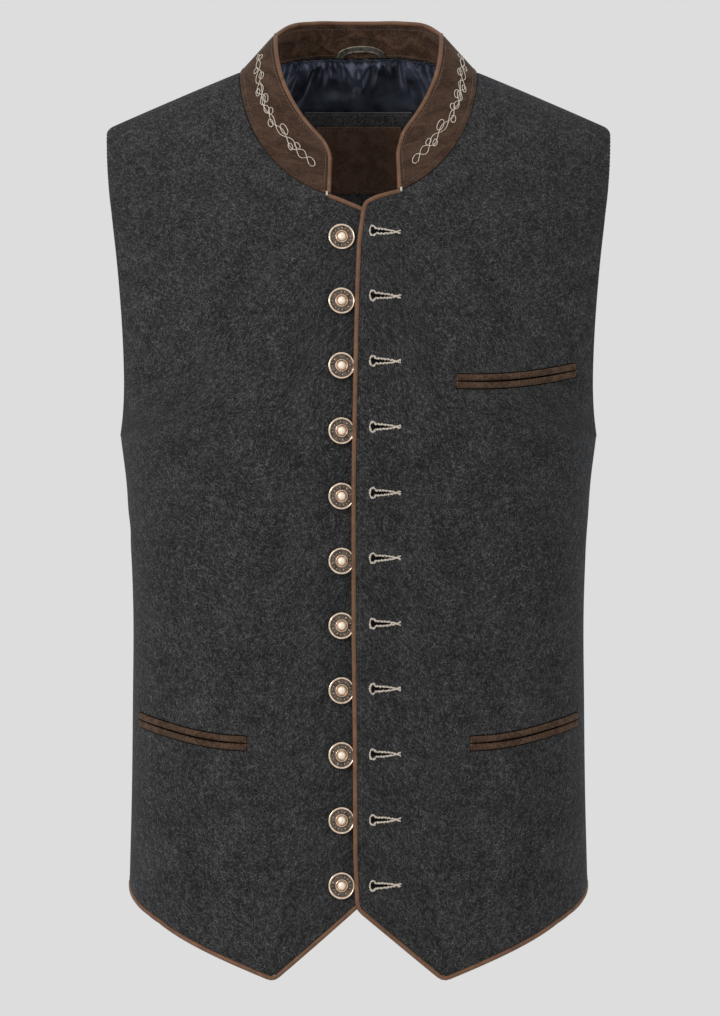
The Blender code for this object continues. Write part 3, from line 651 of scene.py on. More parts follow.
def front_grid(side):
    """Grid of spots for one front: columns from its free edge to the side, rows from hem to shoulder."""
    neck, edge, hem = front_edge_spots(side, EDGE_INSET)
    seam = neck_spot_front(front_neck_turns(side, NECK_POINTS)) * (side, 1.0)
    seam[:, 1] -= EDGE_TRIM
    edge = edge[::-1]
    share_below = (0.0 - edge[0, 1]) / (edge[-1, 1] - edge[0, 1])
    below = np.linspace(0.0, share_below, ROWS_BELOW)
    above = np.linspace(share_below, 1.0, EDGE_CELLS + 1)[1:]
    up_edge = resample(edge, np.concatenate([below, above]))
    left = np.vstack([up_edge, resample(neck[::-1], even(NECK_EDGE_CELLS + 1))[1:], seam])
    rows_above = len(left) - ROWS_BELOW
    tip = int(np.argmin(hem[:, 1]))
    near = resample(hem[: tip + 1], even(TIP_CELLS + 1))
    bottom = np.vstack([near, resample(hem[tip:], even(FRONT_COLUMNS - TIP_CELLS))[1:]])
    top = shoulder_spots("front", side, FRONT_COLUMNS)
    right = side_and_armhole("front", "front_edge", side, ROWS_BELOW, rows_above, SIDE_HEM_Z + EDGE_INSET)
    left[-1] = top[0]
    return coons(bottom, top, left, right)


def back_grid():
    """Grid of spots for the back, from the wearer's right side to the left."""
    seam = neck_spot_back(even_turns(neck_spot_back, "back", np.pi / 2, BACK_NECK_CELLS))
    seam[:, 1] -= EDGE_TRIM
    shoulder = shoulder_spots("back", 1, BACK_HALF_COLUMNS - BACK_NECK_CELLS + 1)
    top = np.vstack([seam, shoulder[1:]])
    right = side_and_armhole("back", "back_edge", 1, BACK_ROWS_BELOW, BACK_ROWS_ABOVE, SIDE_HEM_Z)
    below = np.linspace(right[0, 1], 0.0, BACK_ROWS_BELOW)
    above = top[0, 1] * armhole_shares(BACK_ROWS_ABOVE)[1:]
    middle = np.concatenate([below, above])
    left = np.column_stack([np.zeros(len(middle)), middle])
    across = even(BACK_HALF_COLUMNS)[None, :, None]
    straight = (1 - across) * left[:, None] + across * right[:, None]
    towards_top = np.clip(middle / middle[-1], 0.0, 1.0)[:, None, None] ** 2
    half = straight + towards_top * (top[None] - straight[-1:])
    mirrored = half[:, :0:-1] * (-1.0, 1.0)
    return np.concatenate([mirrored, half], axis=1)


def collar_rings():
    """Seam points, normals and lengths run, from the wearer's right end round the back to the left end."""
    back = even_turns(neck_spot_back, "back", np.pi / 2, NECK_POINTS)
    parts = []
    normals = []
    for side, half, turns in (
        (-1, "front", front_neck_turns(-1, NECK_POINTS)),
        (-1, "back", back[-2::-1]),
        (1, "back", back[1:]),
        (1, "front", front_neck_turns(1, NECK_POINTS)[-2::-1]),
    ):
        spots = (neck_spot_front(turns) if half == "front" else neck_spot_back(turns)) * (side, 1.0)
        parts.append(skin(half, spots[:, 0], spots[:, 1]))
        normals.append(outward(half, spots[:, 0], spots[:, 1]))
    seam = finer_ends(np.vstack(parts))
    normal = unit(finer_ends(np.vstack(normals)))
    travelled = lengths_run(seam)
    return seam, normal, collar_top(seam), travelled, travelled[-1]


def finer_ends(points):
    """The same points with the first and the last step cut in three."""
    thirds = np.array([1.0 / 3.0, 2.0 / 3.0])[:, None]
    first = points[0] + (points[1] - points[0]) * thirds
    last = points[-2] + (points[-1] - points[-2]) * thirds
    return np.vstack([points[:1], first, points[1:-1], last, points[-1:]])


def collar_top(seam):
    """Top ring of the collar, drawn in towards the neck and raised."""
    turn = np.degrees(np.arctan2(np.abs(seam[:, 0]), seam[:, 1]))
    rise = column(COLLAR_HEIGHTS, COLLAR_HEIGHT_COLUMNS, "rise", turn)
    x = seam[:, 0]
    end = np.where(x < 0, RIGHT_COLLAR_END_X, LEFT_COLLAR_END_X)
    closeness = np.exp(-(((x - end) / COLLAR_END_REACH) ** 2)) * (seam[:, 1] < 0)
    top_x = COLLAR_TAPER * x + (1 - COLLAR_TAPER) * COLLAR_END_PULL * closeness * end
    return np.column_stack([top_x, COLLAR_TAPER_DEPTH * seam[:, 1], seam[:, 2] + rise])


def collar_surface(share_up, ring, out):
    """One row of the collar: a share of the way up, moved out by a distance."""
    seam, normal, top, travelled, length = ring
    from_end = np.minimum(travelled, length - travelled)
    corner = np.clip(1.0 - from_end / COLLAR_CORNER, 0.0, 1.0)
    lowered = COLLAR_CORNER * (1.0 - np.sqrt(1.0 - corner**2))
    height = np.linalg.norm(top - seam, axis=1)
    share = share_up * (height - lowered) / height
    share = share + (1.0 - share_up) * COLLAR_SEAM_LIFT / height
    up = top - seam
    along = np.gradient(seam, axis=0)
    lean = unit(np.cross(along, up))
    lean *= np.sign(np.sum(lean * normal, axis=1, keepdims=True))
    turn = smoothstep(share_up / 0.5)
    facing = unit((1 - turn) * normal + turn * lean)
    out = np.broadcast_to(np.asarray(out, float), travelled.shape)
    return seam + share[:, None] * up + out[:, None] * facing


# Meshes.


def new_object(name, data):
    """An object in the scene."""
    made = bpy.data.objects.new(name, data)
    bpy.context.scene.collection.objects.link(made)
    return made


def add_object(name, data, surface, nodes=(), place=None):
    """An object of the vest that stands for CAD nodes, which it hides, with the given material and place."""
    made = new_object(name, data)
    if surface is not None:
        made.data.materials.append(surface)
    if place is not None:
        made.matrix_world = place
    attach(made, "root")
    if nodes:
        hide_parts(*nodes)
    return made


def grid_lengths(points):
    """Lengths run across the columns and up the rows of a grid of points, in millimetres."""
    across = np.linalg.norm(np.diff(points, axis=1), axis=2)
    across = np.concatenate([np.zeros((len(points), 1)), np.cumsum(across, axis=1)], axis=1)
    upwards = np.linalg.norm(np.diff(points, axis=0), axis=2).mean(axis=1)
    upwards = np.concatenate([[0.0], np.cumsum(upwards)])
    return across - across.mean(axis=1, keepdims=True), np.broadcast_to(upwards[:, None], across.shape)


def shell(name, outer, inner, surface, nodes=()):
    """A closed thin shell between an outer and an inner grid, with a UV map in millimetres."""
    rows, columns, _ = outer.shape
    count = rows * columns
    points = np.concatenate([outer.reshape(-1, 3), inner.reshape(-1, 3)]) * MM
    index = np.arange(count).reshape(rows, columns)
    quads = np.stack([index[:-1, :-1], index[:-1, 1:], index[1:, 1:], index[1:, :-1]], axis=-1).reshape(-1, 4)
    rim = np.concatenate([index[0, :-1], index[:-1, -1], index[-1, :0:-1], index[:0:-1, 0]])
    following = np.roll(rim, -1)
    sides = np.stack([rim, following, following + count, rim + count], axis=-1)
    faces = np.concatenate([quads, quads[:, ::-1] + count, sides[:, ::-1]])
    uv = np.stack([lengths.ravel() for lengths in grid_lengths(outer)], axis=-1)
    data = closed_mesh(name, points, faces.tolist(), np.concatenate([uv, uv]))
    return add_object(name, data, surface, nodes)


def closed_mesh(name, points, faces, uv=None):
    """A smooth closed mesh with its faces outwards, and with the map "cloth_mm" where UVs are given."""
    data = bpy.data.meshes.new(name)
    data.from_pydata(points.tolist(), [], faces)
    if uv is not None:
        layer = data.uv_layers.new(name="cloth_mm")
        corners = np.empty(len(data.loops), np.int32)
        data.loops.foreach_get("vertex_index", corners)
        layer.uv.foreach_set("vector", uv[corners].astype(np.float32).ravel())
    mesh = bmesh.new()
    mesh.from_mesh(data)
    return as_data(mesh, data)


def as_data(mesh, data, smooth=True):
    """Mesh data filled from a bmesh whose faces are turned outwards."""
    bmesh.ops.recalc_face_normals(mesh, faces=mesh.faces)
    for face in mesh.faces:
        face.smooth = smooth
    mesh.to_mesh(data)
    mesh.free()
    return data


def with_edge_lines(grid, distance_of):
    """A grid of spots with extra lines close to its four edges, and how near each point is to an edge."""
    for axis in (0, 1):
        for _ in range(2):
            grid = np.moveaxis(grid, axis, 0)
            first, second = grid[0], grid[1]
            step = distance_of(first, second)
            extra = [first + (second - first) * (near / step)[:, None] for near, _ in ROLL[1:]]
            grid = np.concatenate([first[None], np.stack(extra), grid[1:]])[::-1]
            grid = np.moveaxis(grid, 0, axis)
    drops = np.array([drop for _, drop in ROLL])
    rows = np.zeros(grid.shape[0])
    columns = np.zeros(grid.shape[1])
    for line in (rows, columns):
        line[: len(drops)] = drops
        line[-len(drops) :] = drops[::-1]
    return grid, np.maximum(rows[:, None], columns[None, :])


def skin_distance(half):
    def measured(first, second):
        return np.linalg.norm(skin(half, *first.T) - skin(half, *second.T), axis=1)

    return measured


def tube(name, points, radius, surface, nodes=()):
    """A piping cord: a poly curve with a round bevel and filled caps."""
    data = bpy.data.curves.new(name, "CURVE")
    data.dimensions = "3D"
    data.bevel_depth = radius * MM
    data.bevel_resolution = 4
    data.use_fill_caps = True
    spline = data.splines.new("POLY")
    spline.points.add(len(points) - 1)
    for spot, point in zip(spline.points, points):
        spot.co = (*(np.asarray(point) * MM), 1.0)
    return add_object(name, data, surface, nodes)


def threads(name, stitches, radius, surface):
    """Many short bent stitches as one mesh; each is a start, a middle and an end point."""
    stitches = np.asarray(stitches, float)
    count = len(stitches)
    t = even(THREAD_RINGS)[None, :, None]
    start, middle, end = (stitches[:, n, None, :] for n in range(3))
    line = bent(start, middle, end, t)
    along = unit(np.gradient(line, axis=1))
    side = unit(np.cross(along, unit(middle - 0.5 * (start + end))))
    up = np.cross(side, along)
    taper = np.array(THREAD_TAPER)[None, :, None, None] * radius
    turn = np.linspace(0.0, 2 * np.pi, THREAD_SIDES, endpoint=False)[None, None, :, None]
    rings = line[:, :, None] + taper * (np.cos(turn) * side[:, :, None] + np.sin(turn) * up[:, :, None])
    points = rings.reshape(-1, 3) * MM
    ring = np.arange(THREAD_SIDES)
    following = np.roll(ring, -1)
    band = np.stack([ring, following, following + THREAD_SIDES, ring + THREAD_SIDES], axis=-1)
    per_stitch = THREAD_RINGS * THREAD_SIDES
    stitch_starts = per_stitch * np.arange(count)[:, None, None]
    levels = THREAD_SIDES * np.arange(THREAD_RINGS - 1)[:, None, None]
    body = ((band + levels).reshape(-1, 4) + stitch_starts).reshape(-1, 4)
    caps = np.stack([ring[::-1], ring + per_stitch - THREAD_SIDES])
    caps = (caps + stitch_starts).reshape(-1, THREAD_SIDES)
    return add_object(name, closed_mesh(name, points, body.tolist() + caps.tolist()), surface)


def stitch_line(points, normals, length, gap, lift, slant=0.0, seed=0):
    """Stitches laid one after another along a path of points on a surface."""
    draw = np.random.default_rng(seed)
    travelled = lengths_run(points)
    starts = np.arange(0.0, travelled[-1] - length, length + gap)
    starts = starts + draw.uniform(-0.08, 0.08, len(starts)) * length
    begin = at_lengths(starts, travelled, points)
    finish = at_lengths(starts + length, travelled, points)
    normal = unit(at_lengths(starts + 0.5 * length, travelled, normals))
    side = unit(np.cross(normal, finish - begin))
    lean = (slant + draw.uniform(-0.04, 0.04, len(starts)) * length)[:, None] * side
    middle = 0.5 * (begin + finish) + lift * normal
    return np.stack([begin - lean, middle, finish + lean], axis=1)


# Materials.


def put(tree, socket, value):
    """Links a value into a socket, or sets it there where it is plain."""
    if isinstance(value, bpy.types.NodeSocket):
        tree.links.new(value, socket)
    else:
        socket.default_value = value


def new_material(name):
    """A material and a helper that adds its nodes, where i and a number stand for an input's place."""
    made = bpy.data.materials.new(name)
    made.use_nodes = True
    tree = made.node_tree

    def node(kind, settings=(), **inputs):
        added = tree.nodes.new(kind)
        for key, value in dict(settings).items():
            setattr(added, key, value)
        for key, value in inputs.items():
            by_place = key[0] == "i" and key[1:].isdigit()
            put(tree, added.inputs[int(key[1:]) if by_place else key], value)
        return added

    return made, node


def shaded(made, node, settings, bump=None):
    """A material with its shader's inputs set, and with a bump of a height, strength and distance."""
    tree = made.node_tree
    shader = tree.nodes["Principled BSDF"]
    for name, value in settings.items():
        put(tree, shader.inputs[name], value)
    if bump is not None:
        height, strength, distance = bump
        relief = node("ShaderNodeBump", Height=height, Strength=strength, Distance=distance)
        put(tree, shader.inputs["Normal"], relief.outputs[0])
    return made


def cloth_place(node):
    return node("ShaderNodeUVMap", {"uv_map": "cloth_mm"}).outputs[0]


def object_place(node):
    return node("ShaderNodeTexCoord").outputs["Object"]


def stretched(node, place, scale):
    return node("ShaderNodeMapping", Vector=place, Scale=scale).outputs[0]


def ramp(node, value, *stops):
    """A colour ramp over a value, with (place, colour) stops."""
    made = node("ShaderNodeValToRGB", i0=value)
    elements = made.color_ramp.elements
    while len(elements) < len(stops):
        elements.new(0.5)
    for element, (place, colour) in zip(elements, stops):
        element.position = place
        element.color = (*colour, 1.0)
    return made.outputs[0]


def maths(node, operation, first, second=0.0, third=0.0):
    return node("ShaderNodeMath", {"operation": operation}, i0=first, i1=second, i2=third).outputs[0]


def vector(node, operation, first, second):
    return node("ShaderNodeVectorMath", {"operation": operation}, i0=first, i1=second).outputs[0]


def weighted(node, *parts):
    """Sum of values times their weights."""
    total = 0.0
    for value, weight in parts:
        total = maths(node, "MULTIPLY_ADD", value, weight, total)
    return total


def noise(node, place, scale, detail=2.0, roughness=0.5, distortion=0.0, dimensions="3D"):
    made = node("ShaderNodeTexNoise", {"noise_dimensions": dimensions}, Vector=place, Scale=scale,
                Detail=detail, Roughness=roughness, Distortion=distortion)
    return made.outputs[0]


def limits(node, value, low, high, to_low=0.0, to_high=1.0):
    made = node("ShaderNodeMapRange", {"interpolation_type": "SMOOTHSTEP"}, i0=value, i1=low, i2=high,
                i3=to_low, i4=to_high)
    return made.outputs[0]


def fibre_layer(node, place, cell, length, width, shift):
    """Short curved fibres, one in each cell of a Voronoi pattern, turned at random; returns their mask."""
    moved = vector(node, "ADD", place, (shift, shift * 0.7, 0.0))
    cells = node("ShaderNodeTexVoronoi", {"voronoi_dimensions": "2D"}, Vector=moved, Scale=1.0 / cell)
    offset = vector(node, "SUBTRACT", moved, cells.outputs["Position"])
    random = node("ShaderNodeSeparateColor", i0=cells.outputs["Color"])
    angle = maths(node, "MULTIPLY", random.outputs[0], 2 * np.pi)
    turn = node("ShaderNodeVectorRotate", {"rotation_type": "Z_AXIS"}, Vector=offset, Angle=angle)
    spot = node("ShaderNodeSeparateXYZ", i0=turn.outputs[0])
    bend = maths(node, "MULTIPLY_ADD", random.outputs[1], 0.7, -0.35)
    curve = maths(node, "MULTIPLY", maths(node, "MULTIPLY", spot.outputs[0], spot.outputs[0]), bend)
    across = maths(node, "ABSOLUTE", maths(node, "ADD", spot.outputs[1], curve))
    along = maths(node, "ABSOLUTE", spot.outputs[0])
    thin = limits(node, across, 0.2 * width, width, 1.0, 0.0)
    short = limits(node, along, 0.5 * length, length, 1.0, 0.0)
    strength = maths(node, "POWER", random.outputs[2], 1.6)
    return maths(node, "MULTIPLY", maths(node, "MULTIPLY", thin, short), strength)


# Layers of visible fibres in the felt. Columns: size of a fibre's cell, half length, half width, shift.
FIBRES = (
    (3.6, 2.1, 0.30, 0.0),
    (3.1, 1.8, 0.27, 37.3),
    (4.1, 2.5, 0.31, 71.9),
    (2.6, 1.5, 0.25, 113.1),
    (2.9, 1.7, 0.28, 171.7),
    (3.8, 2.2, 0.30, 211.3),
    (2.2, 1.3, 0.24, 263.9),
)
# The felt's ground from its depths to its heights. Columns: place, share of the base colour.
WOOL_TONES = ((0.38, 0.45), (0.54, 1.0), (0.70, 1.6))


def wool_material(name, base, light, fibre_strength):
    """Felted wool: a dark ground with cloudy depth, short pale fibres, fine bump and a soft sheen."""
    made, node = new_material(name)
    place = cloth_place(node)
    curl = node("ShaderNodeTexNoise", {"noise_dimensions": "2D"}, Vector=place, Scale=0.45, Detail=2.0)
    curl = vector(node, "SUBTRACT", curl.outputs[1], (0.5, 0.5, 0.5))
    curled = vector(node, "ADD", place, vector(node, "MULTIPLY", curl, (2.2, 2.2, 2.2)))
    total = weighted(node, *((fibre_layer(node, curled, *layer), 1.0) for layer in FIBRES))
    fibres = maths(node, "MINIMUM", total, 1.0)
    cloud = noise(node, place, 0.035, 3.0, 0.55, 0.4, "2D")
    patch = noise(node, place, 0.16, 2.0, 0.6, 0.3, "2D")
    grain = noise(node, place, 1.3, 2.0, 0.6, 0.0, "2D")
    depth = weighted(node, (grain, 0.45), (patch, 0.35), (cloud, 0.3))
    ground = ramp(node, depth, *((at, [share * side for side in base]) for at, share in WOOL_TONES))
    shown = limits(node, depth, 0.35, 0.75, 0.45 * fibre_strength, fibre_strength)
    amount = maths(node, "MULTIPLY", fibres, shown)
    colour = node("ShaderNodeMix", {"data_type": "RGBA"}, i0=amount, i6=ground, i7=(*light, 1.0)).outputs[2]
    settings = {
        "Base Color": colour,
        "Roughness": 0.95,
        "Specular IOR Level": 0.08,
        "Sheen Weight": 0.05,
        "Sheen Roughness": 0.55,
        "Sheen Tint": (0.75, 0.78, 0.85, 1.0),
    }
    height = weighted(node, (fibres, 0.6), (grain, 0.6))
    return shaded(made, node, settings, (height, 0.55, 0.00035))


def suede_material(name, dark, middle, pale, fineness=1.0, relief=0.5):
    """Brushed suede: cloudy nap in three tones, fine grain and paler rubbed spots."""
    made, node = new_material(name)
    place = cloth_place(node)
    cloud = noise(node, place, 0.075 * fineness, 4.0, 0.62, 0.8, "2D")
    nap = noise(node, stretched(node, place, (0.9, 0.28, 1.0)), 1.0, 3.0, 0.6, 0.5, "2D")
    grain = noise(node, place, 0.95, 3.0, 0.75, 0.0, "2D")
    depth = weighted(node, (cloud, 0.36), (nap, 0.22), (grain, 0.42))
    settings = {
        "Base Color": ramp(node, depth, (0.39, dark), (0.5, middle), (0.63, pale)),
        "Roughness": 0.88,
        "Specular IOR Level": 0.18,
        "Sheen Weight": 0.1,
        "Sheen Roughness": 0.4,
        "Sheen Tint": (0.9, 0.75, 0.62, 1.0),
    }
    return shaded(made, node, settings, (depth, relief, 0.0005))


def leather_material(name, dark, pale):
    """Smooth piping leather: fine wrinkles across the cord, darker in its folds."""
    made, node = new_material(name)
    place = object_place(node)
    cloud = noise(node, place, 90.0, 3.0, 0.6, 0.4)
    wrinkle = noise(node, place, 900.0, 3.0, 0.65, 0.6)
    depth = weighted(node, (cloud, 0.55), (wrinkle, 0.45))
    settings = {
        "Base Color": ramp(node, depth, (0.36, dark), (0.66, pale)),
        "Roughness": limits(node, wrinkle, 0.3, 0.7, 0.5, 0.68),
        "Specular IOR Level": 0.35,
    }
    return shaded(made, node, settings, (wrinkle, 0.4, 0.0003))


def satin_material(name, dark, pale):
    """Lining satin: smooth navy weave with a long soft gloss; its broad cloudy shift from dark to pale navy
    is painted sheen, and its fine streaks are the weave.
    """
    made, node = new_material(name)
    place = cloth_place(node)
    # Painted sheen: a broad cloud from dark to pale navy, laid over the weave's streaks.
    cloud = noise(node, place, 0.05, 2.0, 0.5, 0.5, "2D")
    yarn = noise(node, stretched(node, place, (0.35, 4.0, 1.0)), 1.0, 1.0, 0.5, 0.0, "2D")
    depth = weighted(node, (cloud, 0.7), (yarn, 0.3))
    settings = {
        "Base Color": ramp(node, depth, (0.35, dark), (0.65, pale)),
        "Metallic": 0.75,
        "Roughness": 0.29,
        "Specular IOR Level": 0.85,
        "Anisotropic": 0.5,
        "Sheen Weight": 0.08,
        "Sheen Roughness": 0.35,
        "Sheen Tint": (0.35, 0.42, 0.75, 1.0),
    }
    return shaded(made, node, settings, (yarn, 0.12, 0.0002))


def thread_material(name, dark, pale):
    """Twisted thread, a little darker in its gaps."""
    made, node = new_material(name)
    twist = noise(node, object_place(node), 1500.0, 2.0, 0.6)
    colour = ramp(node, twist, (0.3, dark), (0.62, pale))
    settings = {"Base Color": colour, "Roughness": 0.7, "Sheen Weight": 0.3}
    return shaded(made, node, settings, (twist, 0.4, 0.00015))


def shadow_material(name, dark, pale):
    """Painted shade: a near-black cloth colour for the walls of slits and for dark lines laid in ditches,
    where shade falls.
    """
    made, node = new_material(name)
    lint = noise(node, object_place(node), 900.0, 2.0, 0.6)
    colour = ramp(node, lint, (0.4, dark), (0.7, pale))
    return shaded(made, node, {"Base Color": colour, "Roughness": 1.0, "Specular IOR Level": 0.0})


def metal_material(name, dark, pale, roughness, metallic=1.0):
    """Cast metal with tarnish in small clouds."""
    made, node = new_material(name)
    place = object_place(node)
    cloud = noise(node, place, 320.0, 4.0, 0.65, 0.6)
    grain = noise(node, place, 2400.0, 2.0, 0.6)
    settings = {
        "Base Color": ramp(node, cloud, (0.35, dark), (0.62, pale)),
        "Roughness": limits(node, cloud, 0.3, 0.7, roughness + 0.12, roughness - 0.05),
        "Metallic": metallic,
    }
    return shaded(made, node, settings, (grain, 0.25, 0.00012))


# Looks: kind, name, colours from dark to pale, and what else the kind asks for.
LOOKS = {
    "wool": (wool_material, "felted_wool", (0.0172, 0.0174, 0.0182), (0.180, 0.181, 0.185), 0.58),
    "patch_wool": (wool_material, "patch_wool", (0.034, 0.034, 0.035), (0.24, 0.24, 0.24), 0.5),
    "suede": (suede_material, "collar_suede", (0.024, 0.012, 0.0075), (0.052, 0.028, 0.0175),
              (0.092, 0.054, 0.035)),
    "inner_suede": (suede_material, "facing_suede", (0.020, 0.010, 0.006), (0.070, 0.038, 0.024),
                    (0.155, 0.088, 0.056)),
    "welt_suede": (suede_material, "welt_suede", (0.026, 0.013, 0.008), (0.064, 0.036, 0.022),
                   (0.125, 0.073, 0.047), 2.2, 0.85),
    "label": (suede_material, "label_suede", (0.046, 0.026, 0.017), (0.092, 0.053, 0.035),
              (0.14, 0.083, 0.055)),
    "leather": (leather_material, "piping_leather", (0.102, 0.047, 0.024), (0.208, 0.105, 0.057)),
    # The satin's pale navy is painted sheen.
    "satin": (satin_material, "navy_satin", (0.026, 0.030, 0.047), (0.130, 0.146, 0.205)),
    "cream": (thread_material, "cream_thread", (0.36, 0.30, 0.24), (0.74, 0.66, 0.56)),
    "brown_thread": (thread_material, "brown_thread", (0.06, 0.036, 0.024), (0.17, 0.11, 0.075)),
    "label_edge": (leather_material, "label_edge", (0.075, 0.038, 0.024), (0.15, 0.085, 0.055)),
    "edge_wool": (thread_material, "patch_edge_wool", (0.035, 0.036, 0.038), (0.10, 0.10, 0.105)),
    # Near-black colours for the walls of slots and for lines beside the welts: painted shade.
    "slit": (shadow_material, "slit_shadow", (0.007, 0.007, 0.008), (0.018, 0.018, 0.020)),
    "ditch": (shadow_material, "ditch_shadow", (0.002, 0.0015, 0.001), (0.006, 0.004, 0.003)),
    "dark_thread": (thread_material, "dark_thread", (0.008, 0.008, 0.009), (0.03, 0.03, 0.033)),
    "bright": (metal_material, "button_rim", (0.72, 0.52, 0.37), (1.0, 0.86, 0.69), 0.22),
    # The button dome's near-white, half-metallic finish is a painted highlight.
    "pearl": (metal_material, "button_dome", (0.95, 0.80, 0.62), (1.0, 0.93, 0.82), 0.45, 0.6),
    "copper": (metal_material, "button_ring", (0.22, 0.11, 0.06), (0.50, 0.29, 0.16), 0.34),
    "dark": (metal_material, "button_recess", (0.050, 0.040, 0.034), (0.165, 0.130, 0.105), 0.45, 0.85),
    "loop": (metal_material, "loop_metal", (0.10, 0.09, 0.078), (0.34, 0.30, 0.25), 0.42),
}


# The vest.


# Soft troughs in the wool.
# Columns: half, middle's x and z, degrees from upright, half length, half width, depth.
CREASES = (
    ("front", 59.5, -332.0, 2.0, 34.0, 3.2, 0.5),
    ("front", 133.0, -318.0, -58.0, 48.0, 8.0, 0.8),
    ("front", 112.0, -395.0, -20.0, 62.0, 11.0, 0.7),
    ("front", 96.0, -588.0, 12.0, 38.0, 9.0, 0.6),
    ("front", 128.0, -92.0, 64.0, 30.0, 7.0, 0.5),
    ("front", -126.0, -326.0, 52.0, 54.0, 9.0, 0.9),
    ("front", -92.0, -404.0, 14.0, 70.0, 10.0, 0.7),
    ("front", -118.0, -596.0, -9.0, 44.0, 8.0, 0.6),
    ("front", -70.0, -232.0, 26.0, 36.0, 7.0, 0.5),
    ("front", -134.0, -100.0, -60.0, 26.0, 8.0, 0.5),
    ("back", 74.0, -372.0, 10.0, 66.0, 10.0, 0.9),
    ("back", -58.0, -318.0, -16.0, 48.0, 9.0, 0.7),
    ("back", -96.0, -446.0, 7.0, 60.0, 12.0, 0.8),
    ("back", 121.0, -244.0, 48.0, 40.0, 9.0, 0.9),
    ("back", -128.0, -262.0, -55.0, 46.0, 8.0, 0.8),
    ("back", 28.0, -548.0, 5.0, 42.0, 9.0, 0.6),
    ("back", 12.0, -72.0, 86.0, 44.0, 7.0, 0.5),
)
# A trough's bend, and the soft rim on both sides of a trough or gather.
CREASE_BOW = 0.25
CREASE_RIM = 0.35
RIM_PLACE = 1.9

# The right front is pressed in beside the left one's edge, between two levels.
EDGE_PRESS = 1.3
EDGE_PRESS_X = -36.0
EDGE_PRESS_WIDTH = 24.0
EDGE_PRESS_TOP_Z = -140.0
EDGE_PRESS_BOTTOM_Z = -615.0
EDGE_PRESS_BLEND = 40.0

# The ends of the shoulders are rounded down.
SHOULDER_DROOP = 2.9
SHOULDER_DROOP_WIDTH = 6.0
SHOULDER_DROOP_LIMIT = 1.3
SHOULDER_DROOP_Z = -84.0
SHOULDER_DROOP_BLEND = 26.0
SHOULDER_PULL = 1.3


def crease_relief(half, points):
    """How deep the creases press into the wool at points of the form."""
    relief = np.zeros(points.shape[:-1])
    for where, x, z, degrees, half_length, half_width, depth in CREASES:
        if where != half:
            continue
        turn = np.radians(degrees)
        right = points[..., 0] - x
        up = points[..., 2] - z
        along = (up * np.cos(turn) + right * np.sin(turn)) / half_length
        bow = CREASE_BOW * half_length * along**2
        across = (right * np.cos(turn) - up * np.sin(turn) + bow) / half_width
        relief -= depth * np.exp(-(across**2) - along**4)
        relief += CREASE_RIM * depth * np.exp(-((np.abs(across) - RIM_PLACE) ** 2) - along**4)
    return relief


def drooped(points):
    """Points with the ends of the shoulders rounded down."""
    over = (np.abs(points[..., 0]) - SHOULDER_HALF_WIDTH) / SHOULDER_DROOP_WIDTH + 1.0
    over = np.clip(over, 0.0, SHOULDER_DROOP_LIMIT)
    near_top = smoothstep((points[..., 2] - SHOULDER_DROOP_Z) / SHOULDER_DROOP_BLEND)
    down = SHOULDER_DROOP * over**2 * near_top
    pulled_in = SHOULDER_PULL * over**4 * near_top * np.sign(points[..., 0])
    return points - np.stack([pulled_in, np.zeros_like(down), down], axis=-1)


def wool_shell(name, half, spots, lift, surface, nodes):
    """A wool panel with rounded edges and soft creases."""
    spots, drop = with_edge_lines(spots, skin_distance(half))
    base = on_form(half, spots, 0.0)
    out = lift(base) + crease_relief(half, base)
    outer = drooped(on_form(half, spots, out - drop))
    inner = drooped(on_form(half, spots, out - WOOL + drop))
    return shell(name, outer, inner, surface, nodes)


def edge_press(points):
    """How far the right front is pressed in beside the left one's edge."""
    near_edge = smoothstep((points[..., 0] - EDGE_PRESS_X) / EDGE_PRESS_WIDTH)
    under_top = smoothstep((EDGE_PRESS_TOP_Z - points[..., 2]) / EDGE_PRESS_BLEND)
    over_bottom = smoothstep((points[..., 2] - EDGE_PRESS_BOTTOM_Z) / EDGE_PRESS_BLEND)
    return -EDGE_PRESS * near_edge * under_top * over_bottom


def lifted(points):
    """How far the left front stands off the form."""
    return lap_lift(points[..., 0])


def build_fronts(looks):
    wool = looks["wool"]
    left = wool_shell("front_left_wool", "front", front_grid(1), lifted, wool, ["front_left"])
    right = wool_shell("front_right_wool", "front", front_grid(-1), edge_press, wool, ["front_right"])
    return left


def build_back(looks):
    spots = back_grid()
    back = wool_shell("back_wool", "back", spots, lambda points: 0.0, looks["wool"], ["back"])
    return spots


# Gathers of the lining under the neck seam. Columns: x, half width, depth, length down, lean.
GATHERS = (
    (-52.0, 2.6, 1.5, 15.0, -0.35),
    (-44.0, 2.2, 1.9, 20.0, -0.45),
    (-36.5, 2.9, 1.2, 12.0, -0.2),
    (-30.5, 2.3, 2.1, 24.0, -0.5),
    (-24.0, 2.8, 1.4, 13.0, 0.15),
    (-15.5, 2.4, 1.7, 17.0, 0.3),
    (-7.0, 3.2, 1.0, 10.0, 0.1),
    (6.5, 2.9, 1.1, 11.0, -0.1),
    (14.0, 2.3, 1.8, 19.0, -0.35),
    (20.5, 2.7, 1.5, 12.0, 0.2),
    (30.0, 2.9, 1.2, 15.0, 0.35),
    (39.5, 2.3, 2.0, 22.0, 0.5),
    (45.5, 2.1, 1.7, 16.0, 0.4),
    (53.0, 2.7, 1.4, 14.0, 0.3),
)
GATHER_STRENGTH = 1.55
GATHER_RIM = 0.6
GATHER_START = 1.5
GATHERED_SHORT_OF_NECK = 12.0
GATHERED_BLEND = 22.0

